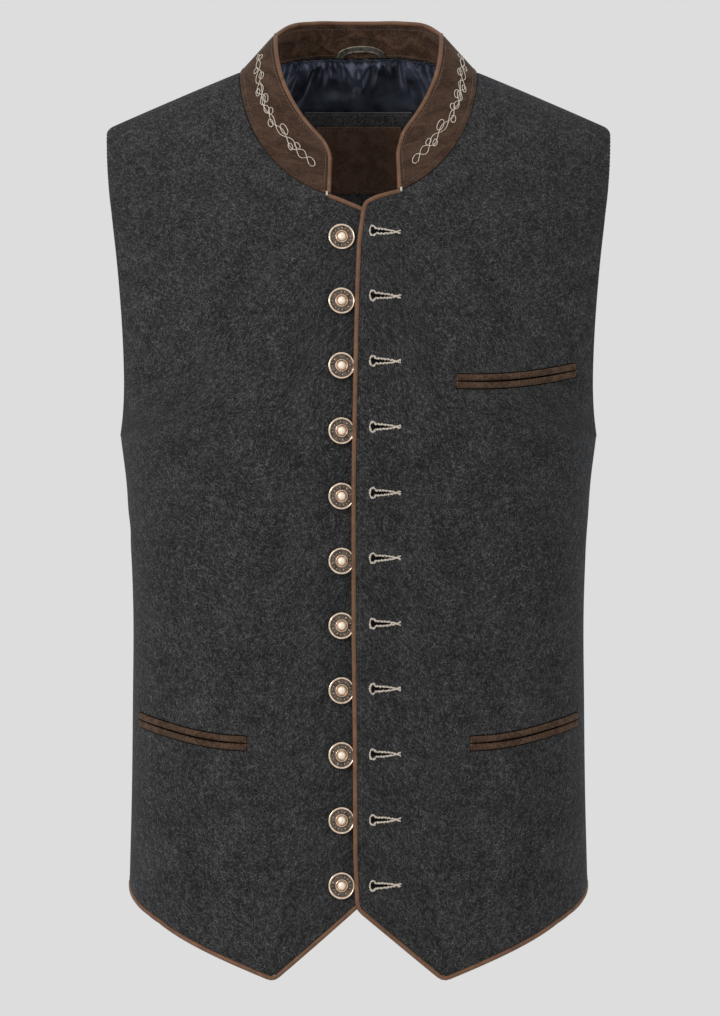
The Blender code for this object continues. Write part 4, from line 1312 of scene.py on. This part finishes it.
# The lining's swell under its gathers, the seam down its middle and its blend into the neck seam.
LINING_PUFF = 3.0
PUFF_RISE = 14.0
PUFF_FALL_FROM = 16.0
PUFF_FALL = 20.0
PUFF_HALF_WIDTH = 28.0
PUFF_SIDE_BLEND = 24.0
SOFT_FOLD_RISE = 30.0
CENTRE_SEAM = 0.7
CENTRE_SEAM_HALF_WIDTH = 0.8
SEAM_BLEND = 6.0
GAP_AT_SEAM = 0.1
THIN_AT_SEAM = 0.3
CLEAR_HALF_WIDTH = 130.0
CLEAR_BLEND = 20.0


def gather_relief(x, below):
    """Inward relief of the gathers at x and at a distance below the neck seam."""
    relief = np.zeros(np.broadcast(x, below).shape)
    for middle, half_width, depth, length, lean in GATHERS:
        spread = half_width * (1.0 + below / length)
        off = (x - middle - lean * below) / spread
        fading = depth * np.exp(-((below / length) ** 2))
        relief -= fading * np.exp(-(off**2)) * smoothstep(below / GATHER_START)
        relief += GATHER_RIM * fading * np.exp(-((np.abs(off) - RIM_PLACE) ** 2))
    return GATHER_STRENGTH * relief


def refined(spots, rows, columns):
    """A grid of spots read at fractional rows and columns."""
    low = np.clip(rows.astype(int), 0, len(spots) - 2)
    part = (rows - low)[:, None, None]
    by_row = spots[low] * (1 - part) + spots[low + 1] * part
    low = np.clip(columns.astype(int), 0, spots.shape[1] - 2)
    part = (columns - low)[None, :, None]
    return by_row[:, low] * (1 - part) + by_row[:, low + 1] * part


def lining_spots(spots):
    """The back's grid with coarse rows low down, and fine rows and columns round the neck."""
    last_row = len(spots) - 1
    crowded = 1.0 - (1.0 - even(LINING_ROWS_ABOVE)) ** LINING_CROWDING
    upper = BACK_ROWS_BELOW + (last_row - BACK_ROWS_BELOW) * crowded
    rows = np.concatenate([np.linspace(0.0, BACK_ROWS_BELOW, LINING_ROWS_BELOW)[:-1], upper])
    last_column = spots.shape[1] - 1
    neck_start = last_column // 2 - BACK_NECK_CELLS
    side = np.linspace(0.0, neck_start, LINING_SIDE_COLUMNS)[:-1]
    neck = np.linspace(neck_start, last_column - neck_start, LINING_NECK_COLUMNS)
    return refined(spots, rows, np.concatenate([side, neck, last_column - side[::-1]]))


def build_lining(looks, back_spots):
    """The satin inside the back, gathered into the neck seam, with a seam down its middle."""
    spots = lining_spots(back_spots)
    base = on_form("back", spots, 0.0)
    x = base[..., 0]
    below = np.maximum(base[-1:, :, 2] - base[..., 2], 0.0)
    in_neck = smoothstep((NECK_HALF_WIDTH - GATHERED_SHORT_OF_NECK - np.abs(x)) / GATHERED_BLEND)
    puff = LINING_PUFF * smoothstep(below / PUFF_RISE)
    puff = puff * (1.0 - smoothstep((below - PUFF_FALL_FROM) / PUFF_FALL))
    puff = puff * (0.75 + 0.25 * np.cos(x / 9.5 + below / 13.0))
    puff = puff * (1.0 - 0.5 * smoothstep((np.abs(x) - PUFF_HALF_WIDTH) / PUFF_SIDE_BLEND))
    soft = 0.5 * GATHER_DEPTH * (1.0 + np.cos(x / 14.0 + below / 26.0) * np.cos(x / 31.0 - below / 19.0))
    soft = soft * smoothstep(below / SOFT_FOLD_RISE)
    folds = np.maximum(puff + gather_relief(x, below) + soft, 0.0) * in_neck
    centre = CENTRE_SEAM * np.exp(-((x / CENTRE_SEAM_HALF_WIDTH) ** 2)) * in_neck
    off_seam = smoothstep(below / SEAM_BLEND)
    gap = GAP_AT_SEAM + (SEAM_GAP - GAP_AT_SEAM) * off_seam
    clearance = LINING_CLEARANCE * smoothstep((CLEAR_HALF_WIDTH - np.abs(x)) / CLEAR_BLEND) * off_seam
    out = -WOOL - gap - clearance - folds + centre * off_seam
    normal = outward("back", spots[..., 0], spots[..., 1])
    outer = drooped(base + out[..., None] * normal)
    thickness = SATIN * (THIN_AT_SEAM + (1.0 - THIN_AT_SEAM) * off_seam)
    inner = outer - thickness[..., None] * normal
    lining = shell("back_lining_satin", outer, inner, looks["satin"], ["back_lining"])


def collar_grid(ring, shares, out, relief=0.0):
    """Rows of the collar at shares of the way up, moved out by a distance and by each row's relief."""
    outs = out + np.broadcast_to(relief, len(shares))
    return np.stack([collar_surface(share, ring, by) for share, by in zip(shares, outs)])


def collar_relief(ring):
    """Shares up the collar with their relief: a swelled band along the seam, then a stitched groove."""
    seam, _, top, _, _ = ring
    height = np.linalg.norm(top - seam, axis=1)
    typical = float(np.median(height))
    ups = np.unique(np.concatenate([
        np.linspace(0.0, COLLAR_BAND, 8),
        COLLAR_BAND + np.array([0.35, 0.7, 1.2, 2.0]),
        np.linspace(COLLAR_BAND + 3.0, typical - 4.0, 16),
        typical - np.array([3.2, 2.6, 2.1, 1.7, 1.2, 0.6, 0.3, 0.0]),
    ]))
    swell = COLLAR_BAND_SWELL * np.sin(np.pi * np.clip(ups / COLLAR_BAND, 0.0, 1.0)) ** 0.8
    groove = COLLAR_GROOVE * np.exp(-(((ups - COLLAR_BAND) / COLLAR_GROOVE_WIDTH) ** 2))
    top_groove = TOP_GROOVE * np.exp(-(((typical - COLLAR_TOP_STITCH - ups) / TOP_GROOVE_WIDTH) ** 2))
    edge = COLLAR_EDGE_DROP * np.clip(1.0 - (typical - ups) / COLLAR_EDGE_ROUNDING, 0.0, 1.0) ** 2
    return ups / typical, swell - groove - top_groove - edge


def build_collar(looks):
    ring = collar_rings()
    shares, relief = collar_relief(ring)
    outer = collar_grid(ring, shares, 0.0, relief)
    inner = collar_grid(ring, shares, -SUEDE)
    collar = shell("collar_suede", outer, inner, looks["suede"], ["collar_outer"])
    base = -SUEDE - SEAM_GAP
    outer = collar_grid(ring, shares, base)
    inner = collar_grid(ring, shares, base - SUEDE, -FACING_RELIEF * relief)
    suede = looks["inner_suede"]
    facing = shell("collar_facing_suede", outer, inner, suede, ["collar_facing"])
    middle = -SUEDE - SEAM_GAP / 2
    grid = collar_grid(ring, even(COLLAR_ROWS), middle)
    outwards_by = collar_grid(ring, even(COLLAR_ROWS), middle + 1.0) - grid
    edge, facing_way = (np.vstack([rows[:-1, 0], rows[-1], rows[-2::-1, -1]]) for rows in (grid, outwards_by))
    away = unit(np.cross(facing_way, np.gradient(edge, axis=0)))
    away *= np.sign(away[len(away) // 2, 2])
    tube("collar_piping", edge + (EDGE_INSET - PIPING_INSET) * away, PIPING_FULLNESS, looks["leather"],
         ["piping_collar"])
    return ring


def build_edge_piping(looks):
    for name, side in (("left", 1), ("right", -1)):
        neck, edge, hem = front_edge_spots(side, PIPING_INSET)
        spots = subdivided(np.vstack([neck, edge[1:], hem[1:-1]]), PIPING_STEP)
        x = skin("front", spots[:, 0], spots[:, 1])[:, 0]
        lift = lap_lift(x) if side > 0 else 0.0
        points = on_form("front", spots, lift - WOOL / 2)
        points[0] += PIPING_REACH * unit(points[0] - points[1])
        tube(f"front_{name}_piping", points, PIPING_FULLNESS, looks["leather"],
             [f"piping_front_{name}"])


def build_welts(looks):
    pockets = (("chest", 1, CHEST_POCKET), ("hip_left", 1, HIP_POCKET), ("hip_right", -1, HIP_POCKET))
    up = crowded_ends(WELT_ROWS)
    swell = np.sqrt(np.clip(1.0 - np.abs(2.0 * up - 1.0) ** WELT_ROUNDNESS, 0.0, 1.0))
    along = crowded_ends(WELT_COLUMNS)
    from_end = np.minimum(along, 1.0 - along) * WELT_LENGTH
    ends = np.sqrt(1.0 - (1.0 - np.clip(from_end / WELT_CORNER, 0.0, 1.0)) ** 2)
    gap = SEAM_GAP / 2 + WELT_PARTING * (1.0 - np.abs(2.0 * along - 1.0) ** 4)
    for pocket, side, line in pockets:
        reach = 1.0 if line is CHEST_POCKET else HIP_WELT_REACH
        middle = smooth_through(np.array(line), along * reach) * (side, 1.0)
        for part, direction in (("upper", 1), ("lower", -1)):
            full_height = WELT_HEIGHT * (WELT_END_HEIGHT + (1.0 - WELT_END_HEIGHT) * ends)
            height = gap + up[:, None] * (full_height - gap)
            x = np.broadcast_to(middle[:, 0], height.shape)
            spots = find("front", x, middle[:, 1] + direction * height)
            thickness = WELT_SINK + WELT_FULLNESS * (WELT_RIM + (1.0 - WELT_RIM) * swell[:, None] * ends)
            outer = on_form("front", spots, thickness - WELT_SINK)
            inner = on_form("front", spots, -WELT_SINK)
            shell(f"{pocket}_{part}_welt", outer, inner, looks["welt_suede"],
                  [f"{pocket}_welt_{part}"])
            # A near-black tube along the welt's edge: painted shade.
            beside = middle[:, 1] + direction * (height[-1] + WELT_SHADE_DISTANCE)
            line_beside = on_form("front", find("front", middle[:, 0], beside), WELT_SHADE_LIFT)
            tube(f"{pocket}_{part}_ditch", line_beside, WELT_SHADE_RADIUS, looks["ditch"])
        # A near-black tube along the slot between the welts: painted shade.
        slot = on_form("front", find("front", *middle[2:-2].T), SLOT_SHADE_LIFT)
        tube(f"{pocket}_slot", slot, SLOT_SHADE_RADIUS, looks["ditch"])


def turned(name, profile, sides, looks):
    """A turned piece whose profile rows name the metal of the band that follows them."""
    turn = np.linspace(0.0, 2 * np.pi, sides, endpoint=False)
    mesh = bmesh.new()
    metals = sorted({row[2] for row in profile})
    rings = []
    for radius, height, _ in profile:
        angles = turn if radius else turn[:1]
        ring = [(radius * np.cos(angle), radius * np.sin(angle), height) for angle in angles]
        rings.append([mesh.verts.new(Vector(spot) * MM) for spot in ring])
    for (first, second), row in zip(zip(rings, rings[1:]), profile):
        for n in range(sides):
            after = (n + 1) % sides
            corners = (first[n % len(first)], second[n % len(second)], second[after % len(second)],
                       first[after % len(first)])
            face = mesh.faces.new(list(dict.fromkeys(corners)))
            face.material_index = metals.index(row[2])
    data = as_data(mesh, bpy.data.meshes.new(name))
    for metal in metals:
        data.materials.append(looks[metal])
    return data


def button_marks(looks):
    """Small raised dots and bars round a button's recess, as generic ornament."""
    mesh = bmesh.new()
    for n in range(BUTTON_MARKS):
        size = BUTTON_MARK_SIZES[n % 2]
        out = Matrix.Translation((BUTTON_MARK_RADIUS * MM, 0.0, BUTTON_MARK_HEIGHT * MM))
        place = Matrix.Rotation(2 * np.pi * n / BUTTON_MARKS, 4, "Z") @ out
        scale = Matrix.Diagonal((*(side * MM for side in size), 1.0))
        bmesh.ops.create_icosphere(mesh, subdivisions=1, radius=1.0, matrix=place @ scale)
    data = as_data(mesh, bpy.data.meshes.new("button_marks"))
    data.materials.append(looks["bright"])
    return data


def build_buttons(looks):
    body = turned("button", BUTTON_PROFILE, BUTTON_SIDES, looks)
    marks = button_marks(looks)
    for number in range(BUTTON_COUNT):
        spot = find("front", BUTTON_X, BUTTON_TOP_Z - number * BUTTON_PITCH)
        base = on_form("front", spot, 0.0)
        normal = Vector(on_form("front", spot, 1.0) - base)
        turn = normal.to_track_quat("Z", "Y").to_matrix().to_4x4()
        spin = Matrix.Rotation(BUTTON_SPIN * number, 4, "Z")
        place = Matrix.Translation(Vector(base) * MM) @ turn @ Matrix.Rotation(BUTTON_TILT, 4, "Y") @ spin
        name = f"button_{number + 1:02d}"
        add_object(f"{name}_metal", body, None, [name], place)
        add_object(f"{name}_marks", marks, None, (), place)


def build_neck_patch(looks):
    patch_out = -LINING_DEPTH - SEAM_GAP
    label_out = patch_out - PATCH - SEAM_GAP
    layers = (
        ("neck_patch", "patch_wool", "patch_top_edge", "edge_wool", "charcoal_wool",
         PATCH_HALF_WIDTH, PATCH_TOP_Z, PATCH_BOTTOM_Z, patch_out, PATCH),
        ("neck_label", "label", "label_top_edge", "label_edge", "brown_suede",
         LABEL_HALF_WIDTH, LABEL_TOP_Z, LABEL_BOTTOM_Z, label_out, LABEL),
    )
    for name, look, _, _, slot, half_width, top, bottom, out, thickness in layers:
        up = np.linspace(bottom, top, PATCH_ROWS)
        across = np.linspace(-half_width, half_width, PATCH_COLUMNS)
        spots = find("back", *np.meshgrid(across, up))
        spots, drop = with_edge_lines(spots, skin_distance("back"))
        drop = PATCH_ROLL * drop
        outer = on_form("back", spots, out - drop)
        inner = on_form("back", spots, out - thickness + drop)
        made = shell(f"{name}_{look}", outer, inner, looks[look], [name])
    stitches = []
    for _, _, name, look, slot, half_width, top, _, out, thickness in layers:
        end = half_width - TURNED_EDGE_INSET
        across = np.linspace(-end, end, EDGE_POINTS)
        level = np.full(EDGE_POINTS, top)
        down = np.column_stack([np.full(8, end), top - np.linspace(0.0, TURNED_EDGE_DROP, 8)])
        path = np.vstack([down[::-1] * (-1.0, 1.0), np.column_stack([across, level])[1:-1], down])
        points = on_form("back", find("back", *path.T), out - TURNED_EDGE_DEPTH * thickness)
        tube(name, points, TURNED_EDGE, looks[look])
        inner = find("back", 0.97 * across, level - 1.9)
        points = on_form("back", inner, out - thickness)
        stitches.append(stitch_line(points, -outward("back", *inner.T), *LABEL_STITCH, seed=41))
    end = LABEL_HALF_WIDTH - 2.0
    low = find("back", np.linspace(-end, end, EDGE_POINTS), np.full(EDGE_POINTS, LABEL_BOTTOM_Z + 2.4))
    points = on_form("back", low, label_out - LABEL)
    stitches.append(stitch_line(points, -outward("back", *low.T), *LABEL_STITCH, seed=43))
    threads("label_stitching", np.concatenate(stitches), LABEL_THREAD, looks["brown_thread"])


def facing_point(ring, centre, x, up, out):
    """A point over the facing at the back of the neck, by its x, its height up the collar and depth."""
    seam, _, top, _, _ = ring
    height = np.linalg.norm(top[centre] - seam[centre])
    row = collar_surface(up / height, ring, out)
    behind = row[row[:, 1] > 0]
    behind = behind[np.argsort(behind[:, 0])]
    return np.array([x, np.interp(x, behind[:, 0], behind[:, 1]), np.interp(x, behind[:, 0], behind[:, 2])])


def build_hanger_loop(looks, ring):
    out = -2 * SUEDE - 2 * SEAM_GAP
    centre = len(ring[0]) // 2
    outer = np.empty((len(LOOP_PROFILE), LOOP_TURNS, 3))
    inner = np.empty_like(outer)
    for r, (share, rise) in enumerate(LOOP_PROFILE):
        for c, turn in enumerate(np.pi * even(LOOP_TURNS)):
            width = LOOP_HALF_WIDTH - LOOP_BAR / 2 + share * LOOP_BAR
            height = LOOP_RISE - LOOP_BAR / 2 + share * LOOP_BAR
            x = LOOP_X - width * np.cos(turn)
            up = LOOP_FOOT + max(height * np.sin(turn), 0.0)
            outer[r, c] = facing_point(ring, centre, x, up, out)
            inner[r, c] = facing_point(ring, centre, x, up, out - LOOP_THICKNESS * rise)
    shell("hanger_loop_metal", outer, inner, looks["loop"], ["hanger_loop"])


def buttonhole_outline():
    """Thread line of a buttonhole: the upper side from left to right and the lower side back."""
    upper = smooth_through(BUTTONHOLE, even(60))
    lower = upper[::-1] * (1.0, -1.0)
    return upper, lower


def cut_buttonholes(front, looks):
    """Keyhole slots in the left front, whose lips meet at the inner face."""
    upper, lower = buttonhole_outline()
    outline = np.vstack([upper[:-1], lower[:-1]])[::3]
    away = outline - outline.mean(axis=0)
    wide = outline + 0.2 * unit(away)
    closed = outline * (1.0, 0.1)
    mesh = bmesh.new()
    for number in range(BUTTON_COUNT):
        z = BUTTONHOLE_TOP_Z - number * BUTTONHOLE_PITCH
        rings = []
        for shape, out in ((wide, 1.5), (closed, SLIT_DEPTH)):
            points = left_front_points(BUTTONHOLE_LEFT_X + shape[:, 0], z + shape[:, 1], out)
            rings.append([mesh.verts.new(Vector(point) * MM) for point in points])
        mesh.faces.new(rings[0])
        mesh.faces.new(rings[1][::-1])
        for n in range(len(outline)):
            after = (n + 1) % len(outline)
            mesh.faces.new((rings[0][after], rings[0][n], rings[1][n], rings[1][after]))
    data = as_data(mesh, bpy.data.meshes.new("buttonhole_cutter"), smooth=False)
    # The cut walls of the slots take the near-black slit colour: painted shade.
    data.materials.append(looks["slit"])
    cutter = new_object("buttonhole_cutter", data)
    cut = front.modifiers.new("Buttonholes", "BOOLEAN")
    cut.operation = "DIFFERENCE"
    cut.solver = "EXACT"
    cut.material_mode = "TRANSFER"
    cut.object = cutter
    bpy.context.view_layer.update()
    graph = bpy.context.evaluated_depsgraph_get()
    done = bpy.data.meshes.new_from_object(front.evaluated_get(graph))
    front.modifiers.clear()
    front.data = done
    bpy.data.objects.remove(cutter, do_unlink=True)


def left_front_points(x, z, out):
    """Points on the left front, by their place in the front view."""
    return on_form("front", find("front", x, z), lap_lift(x) + out)


def build_buttonhole_threads(looks):
    """Dense short stitches across the thread's line round each slot, and a small bar at its tip."""
    draw = np.random.default_rng(11)
    upper, lower = buttonhole_outline()
    stitches = []
    for number in range(BUTTON_COUNT):
        z = BUTTONHOLE_TOP_Z - number * BUTTONHOLE_PITCH
        loose = draw.uniform(-0.25, 0.25, 3)
        for line, sign in ((upper, 1.0), (lower[::-1], -1.0)):
            tail = np.array(BUTTONHOLE_TAIL) * (1.0, sign)
            path = resample(np.vstack([line, tail[1:]]), even(64))
            wave = 0.16 * np.sin(path[:, 0] * 1.9 + loose[0] * 9 + sign)
            wave = wave + 0.12 * draw.standard_normal(len(path))
            lump = 1.0 + BUTTONHOLE_LUMPS * np.sin(path[:, 0] * 2.6 + loose[2] * 20.0 + 2.0 * sign)
            path = path + np.column_stack([np.zeros(len(path)), wave + loose[1] * path[:, 0] / 22.0])
            along = unit(np.gradient(path, axis=0))
            across = np.column_stack([-along[:, 1], along[:, 0]])
            reach = BUTTONHOLE_THREAD * (lump * draw.uniform(0.8, 1.25, len(path)))[:, None]
            lean = 0.25 * draw.standard_normal((len(path), 1)) * along
            ends = []
            for share, out in ((-1.0, 0.05), (0.0, 0.75), (1.0, 0.05)):
                spot = path + share * (reach * across + lean)
                ends.append(left_front_points(BUTTONHOLE_LEFT_X + spot[:, 0], z + spot[:, 1], out))
            stitches.append(np.stack(ends, axis=1))
    threads("buttonhole_threads", np.concatenate(stitches), BUTTONHOLE_STITCH_THREAD, looks["cream"])


def on_collar(ring, travelled_at, height_at, out):
    """Points on the collar's outside, by the length run round it and the share of its height."""
    shares = even(COLLAR_READING_ROWS)
    rows = collar_grid(ring, shares, out)
    travelled = ring[3]
    columns = np.interp(travelled_at, travelled, np.arange(len(travelled)))
    low = np.clip(columns.astype(int), 0, len(travelled) - 2)
    part = (columns - low)[:, None]
    up = np.clip(height_at, 0.0, 1.0) * (len(shares) - 1)
    row = np.clip(up.astype(int), 0, len(shares) - 2)
    rise = (up - row)[:, None]
    below = rows[row, low] * (1 - part) + rows[row, low + 1] * part
    above = rows[row + 1, low] * (1 - part) + rows[row + 1, low + 1] * part
    return below * (1 - rise) + above * rise


def collar_run(ring, travelled_at, height_at, out):
    """Points on the collar's outside and the way out at each of them."""
    points = on_collar(ring, travelled_at, height_at, out)
    return points, on_collar(ring, travelled_at, height_at, out + 1.0) - points


# The collar's embroidery: two strands that run side by side and cross, with loops beside the crossings.
VINE_FROM_END = 19.0
VINE_LENGTH = 134.0
# Columns: side, share of the collar's height at the front end, the same at the back end.
VINE_SIDES = ((-1, 0.45, 0.53), (1, 0.38, 0.42))
VINE_WAVE = 25.5
VINE_SWING = 2.9
VINE_THREAD = 0.27
VINE_STEP = 0.5
VINE_END = 5.2
VINE_THIRD_STRAND = slice(340, 560)
# Columns: length along, side, half length, half width.
VINE_LOOPS = (
    (17.0, 1, 3.4, 2.1),
    (22.5, -1, 3.0, 2.2),
    (36.0, 1, 5.6, 3.0),
    (51.5, -1, 3.6, 2.6),
    (59.0, 1, 3.1, 2.4),
    (73.5, 1, 4.6, 2.7),
    (86.0, -1, 3.6, 2.4),
    (98.5, 1, 4.0, 2.6),
    (111.0, -1, 3.2, 2.3),
    (123.0, 1, 3.5, 2.1),
)


def vine_paths():
    """Paths of one side's vine as (length from its front end, millimetres across) pairs."""
    along = np.linspace(0.0, VINE_LENGTH, 800)
    phase = 2 * np.pi * along / VINE_WAVE + 0.55 * np.sin(along / 11.0)
    sway = 1.3 * np.sin(along / 17.0 + 0.6)
    swing = VINE_SWING * (1.0 + 0.3 * np.sin(along / 13.0 + 1.0)) * smoothstep((VINE_LENGTH - along) / 9.0)
    first = sway + swing * np.cos(phase)
    second = sway - swing * np.cos(phase + 0.4)
    third = sway + 0.5 * swing * np.sin(0.6 * phase + 0.8)
    paths = [np.column_stack([along, strand]) for strand in (first, second, third)]
    paths[2] = paths[2][VINE_THIRD_STRAND]
    turn = np.linspace(-0.6 * np.pi, 1.5 * np.pi, 60)
    for middle, side, half_length, half_width in VINE_LOOPS:
        shift = np.interp(middle, along, sway) + side * (0.2 * VINE_SWING + half_width)
        curl = np.column_stack([half_length * np.cos(turn), side * half_width * np.sin(turn)])
        lean = 0.35 * side * np.cos(middle)
        turned_curl = curl + np.column_stack([-lean * curl[:, 1], lean * curl[:, 0]])
        paths.append(turned_curl + (middle, shift))
    turn = np.linspace(0.5 * np.pi, 1.5 * np.pi, 40)
    end_width = 0.5 * (first[0] - second[0])
    end_middle = 0.5 * (first[0] + second[0])
    paths.append(np.column_stack([VINE_END * np.cos(turn), end_width * np.sin(turn) + end_middle]))
    return paths


def build_embroidery(looks, ring):
    """Stem stitch along the vine on both sides of the collar."""
    _, _, _, travelled, length = ring
    height = np.linalg.norm(ring[2] - ring[0], axis=1)
    stitches = []
    for side, at_front, at_back in VINE_SIDES:
        for number, path in enumerate(vine_paths()):
            path = resample(path, even(max(int(lengths_run(path)[-1] / VINE_STEP), 8)))
            from_end = VINE_FROM_END + path[:, 0]
            at = from_end if side < 0 else length - from_end
            middle = at_front + (at_back - at_front) * path[:, 0] / VINE_LENGTH
            up = middle + path[:, 1] / np.interp(at, travelled, height)
            points, normals = collar_run(ring, at, up, 0.1)
            stitches.append(stitch_line(points, normals, *VINE_STITCH, seed=31 * number + side + 7))
    threads("collar_embroidery", np.concatenate(stitches), VINE_THREAD, looks["cream"])


def build_seam_stitches(looks, ring):
    """Machine stitching: collar edges, collar band, collar facing, front edges and armholes."""
    _, _, top, travelled, length = ring
    height = np.linalg.norm(top - ring[0], axis=1)
    brown = []
    at = np.linspace(COLLAR_END_INSET, length - COLLAR_END_INSET, SEAM_POINTS)
    tall = np.interp(at, travelled, height)
    for up, out in ((COLLAR_BAND / tall, -0.15), (1.0 - COLLAR_TOP_STITCH / tall, -0.1)):
        points, normals = collar_run(ring, at, up, out)
        brown.append(stitch_line(points, normals, *COLLAR_STITCH, seed=5))
    for near in (COLLAR_END_INSET, length - COLLAR_END_INSET):
        up = np.linspace(0.16, 0.9, 60)
        points, normals = collar_run(ring, np.full(60, near), up, 0.05)
        brown.append(stitch_line(points, normals, *COLLAR_END_STITCH, seed=6))
    inside = -2 * SUEDE - SEAM_GAP
    for up in (1.0 - FACING_STITCHES[0] / tall, FACING_STITCHES[1] / tall):
        points, normals = collar_run(ring, at, up, inside - 0.05)
        brown.append(stitch_line(points, -normals, *COLLAR_STITCH, seed=8))
    threads("collar_stitching", np.concatenate(brown), SEWING_THREAD, looks["brown_thread"])
    dark = []
    for side in (1, -1):
        _, edge, hem = front_edge_spots(side, EDGE_INSET + EDGE_STITCH_INSET)
        spots = subdivided(np.vstack([edge[1:], hem[1:-1]]), SEAM_STEP)
        x = skin("front", spots[:, 0], spots[:, 1])[:, 0]
        lift = lap_lift(x) if side > 0 else np.zeros(len(x))
        points = on_form("front", spots, lift)
        dark.append(stitch_line(points, outward("front", *spots.T), *EDGE_STITCH, seed=12 + side))
    for half, name in (("front", "front_edge"), ("back", "back_edge")):
        for side in (1, -1):
            hole = side_and_armhole(half, name, side, 2, 200, CHEST_Z - 1.0)[1:]
            spots = hole - (side * ARMHOLE_STITCH_TURN, 0.0)
            points = drooped(on_form(half, spots, 0.0))
            dark.append(stitch_line(points, outward(half, *spots.T), *EDGE_STITCH, seed=20 + side))
    threads("edge_stitching", np.concatenate(dark), SEWING_THREAD, looks["dark_thread"])


def build_tacks(looks):
    """The short pale bar tacks where the collar's ends meet the piping of the neck edge."""
    stitches = []
    for side, x, z in TACKS:
        for n in range(TACK_STITCHES):
            place = x + TACK_PITCH * (n - 0.5 * (TACK_STITCHES - 1))
            ends = []
            for up, out in ((-TACK_HALF_HEIGHT, 0.9), (0.0, 1.5), (TACK_HALF_HEIGHT, 0.9)):
                spot = find("front", place, z + up)
                ends.append(on_form("front", spot, out + (lap_lift(x) if side > 0 else 0.0)))
            stitches.append(ends)
    threads("collar_tacks", np.array(stitches), TACK_THREAD, looks["cream"])


# Floor, light and camera.


def build_stage():
    place = (0.0, 0.0, FLOOR_Z * MM)
    bpy.ops.mesh.primitive_circle_add(vertices=96, radius=40.0, fill_type="NGON", location=place)
    floor = bpy.context.object
    floor.name = "floor"
    made, node = new_material("floor_paint")
    shaded(made, node, {"Base Color": (0.78, 0.78, 0.78, 1.0), "Roughness": 0.9})
    tree = made.node_tree
    shader = tree.nodes["Principled BSDF"]
    distance = node("ShaderNodeVectorMath", {"operation": "LENGTH"}, i0=object_place(node)).outputs["Value"]
    glow = node("ShaderNodeEmission", Color=(BACKGROUND, BACKGROUND, BACKGROUND, 1.0), Strength=1.0)
    far = limits(node, distance, 1.2, 5.0)
    blend = node("ShaderNodeMixShader", i0=far, i1=shader.outputs[0], i2=glow.outputs[0])
    tree.links.new(blend.outputs[0], tree.nodes["Material Output"].inputs["Surface"])
    floor.data.materials.append(made)


def area_light(name, place, size, power, colour):
    """A soft box that faces the vest's chest."""
    data = bpy.data.lights.new(name, "AREA")
    data.shape = "RECTANGLE"
    data.size, data.size_y = size
    data.energy = power
    data.color = colour
    made = new_object(name, data)
    made.location = place
    aim = Vector((0.0, 0.0, -0.33)) - Vector(place)
    made.rotation_euler = aim.to_track_quat("-Z", "Y").to_euler()


def build_light():
    world = bpy.data.worlds.new("studio")
    bpy.context.scene.world = world
    world.use_nodes = True
    back = world.node_tree.nodes["Background"]
    back.inputs["Color"].default_value = (BACKGROUND, BACKGROUND, BACKGROUND, 1.0)
    back.inputs["Strength"].default_value = 1.0
    area_light("key", (-1.9, -2.2, 0.9), (1.2, 1.2), 34.0, (1.0, 0.985, 0.96))
    area_light("fill", (1.9, -2.2, 0.5), (1.4, 1.4), 3.0, (0.96, 0.98, 1.0))
    area_light("top", (0.0, -0.4, 1.9), (1.2, 1.0), 2.0, (1.0, 1.0, 1.0))


def build_camera():
    data = bpy.data.cameras.new("photo_camera")
    data.sensor_fit = "VERTICAL"
    data.sensor_height = SENSOR
    data.lens = SENSOR * VIEW_DISTANCE / (PHOTO_HEIGHT * MM_PER_PIXEL)
    camera = new_object("photo_camera", data)
    camera.location = (VIEW_X * MM, -VIEW_DISTANCE * MM, VIEW_Z * MM)
    camera.rotation_euler = (np.pi / 2, 0.0, 0.0)
    bpy.context.scene.camera = camera


def main():
    build_camera()
    bpy.context.scene.view_settings.view_transform = "Standard"
    looks = {look: kind(*values) for look, (kind, *values) in LOOKS.items()}
    left = build_fronts(looks)
    cut_buttonholes(left, looks)
    spots = build_back(looks)
    build_lining(looks, spots)
    ring = build_collar(looks)
    build_edge_piping(looks)
    build_welts(looks)
    build_buttons(looks)
    build_neck_patch(looks)
    build_hanger_loop(looks, ring)
    build_buttonhole_threads(looks)
    build_embroidery(looks, ring)
    build_seam_stitches(looks, ring)
    build_tacks(looks)
    build_stage()
    build_light()


main()
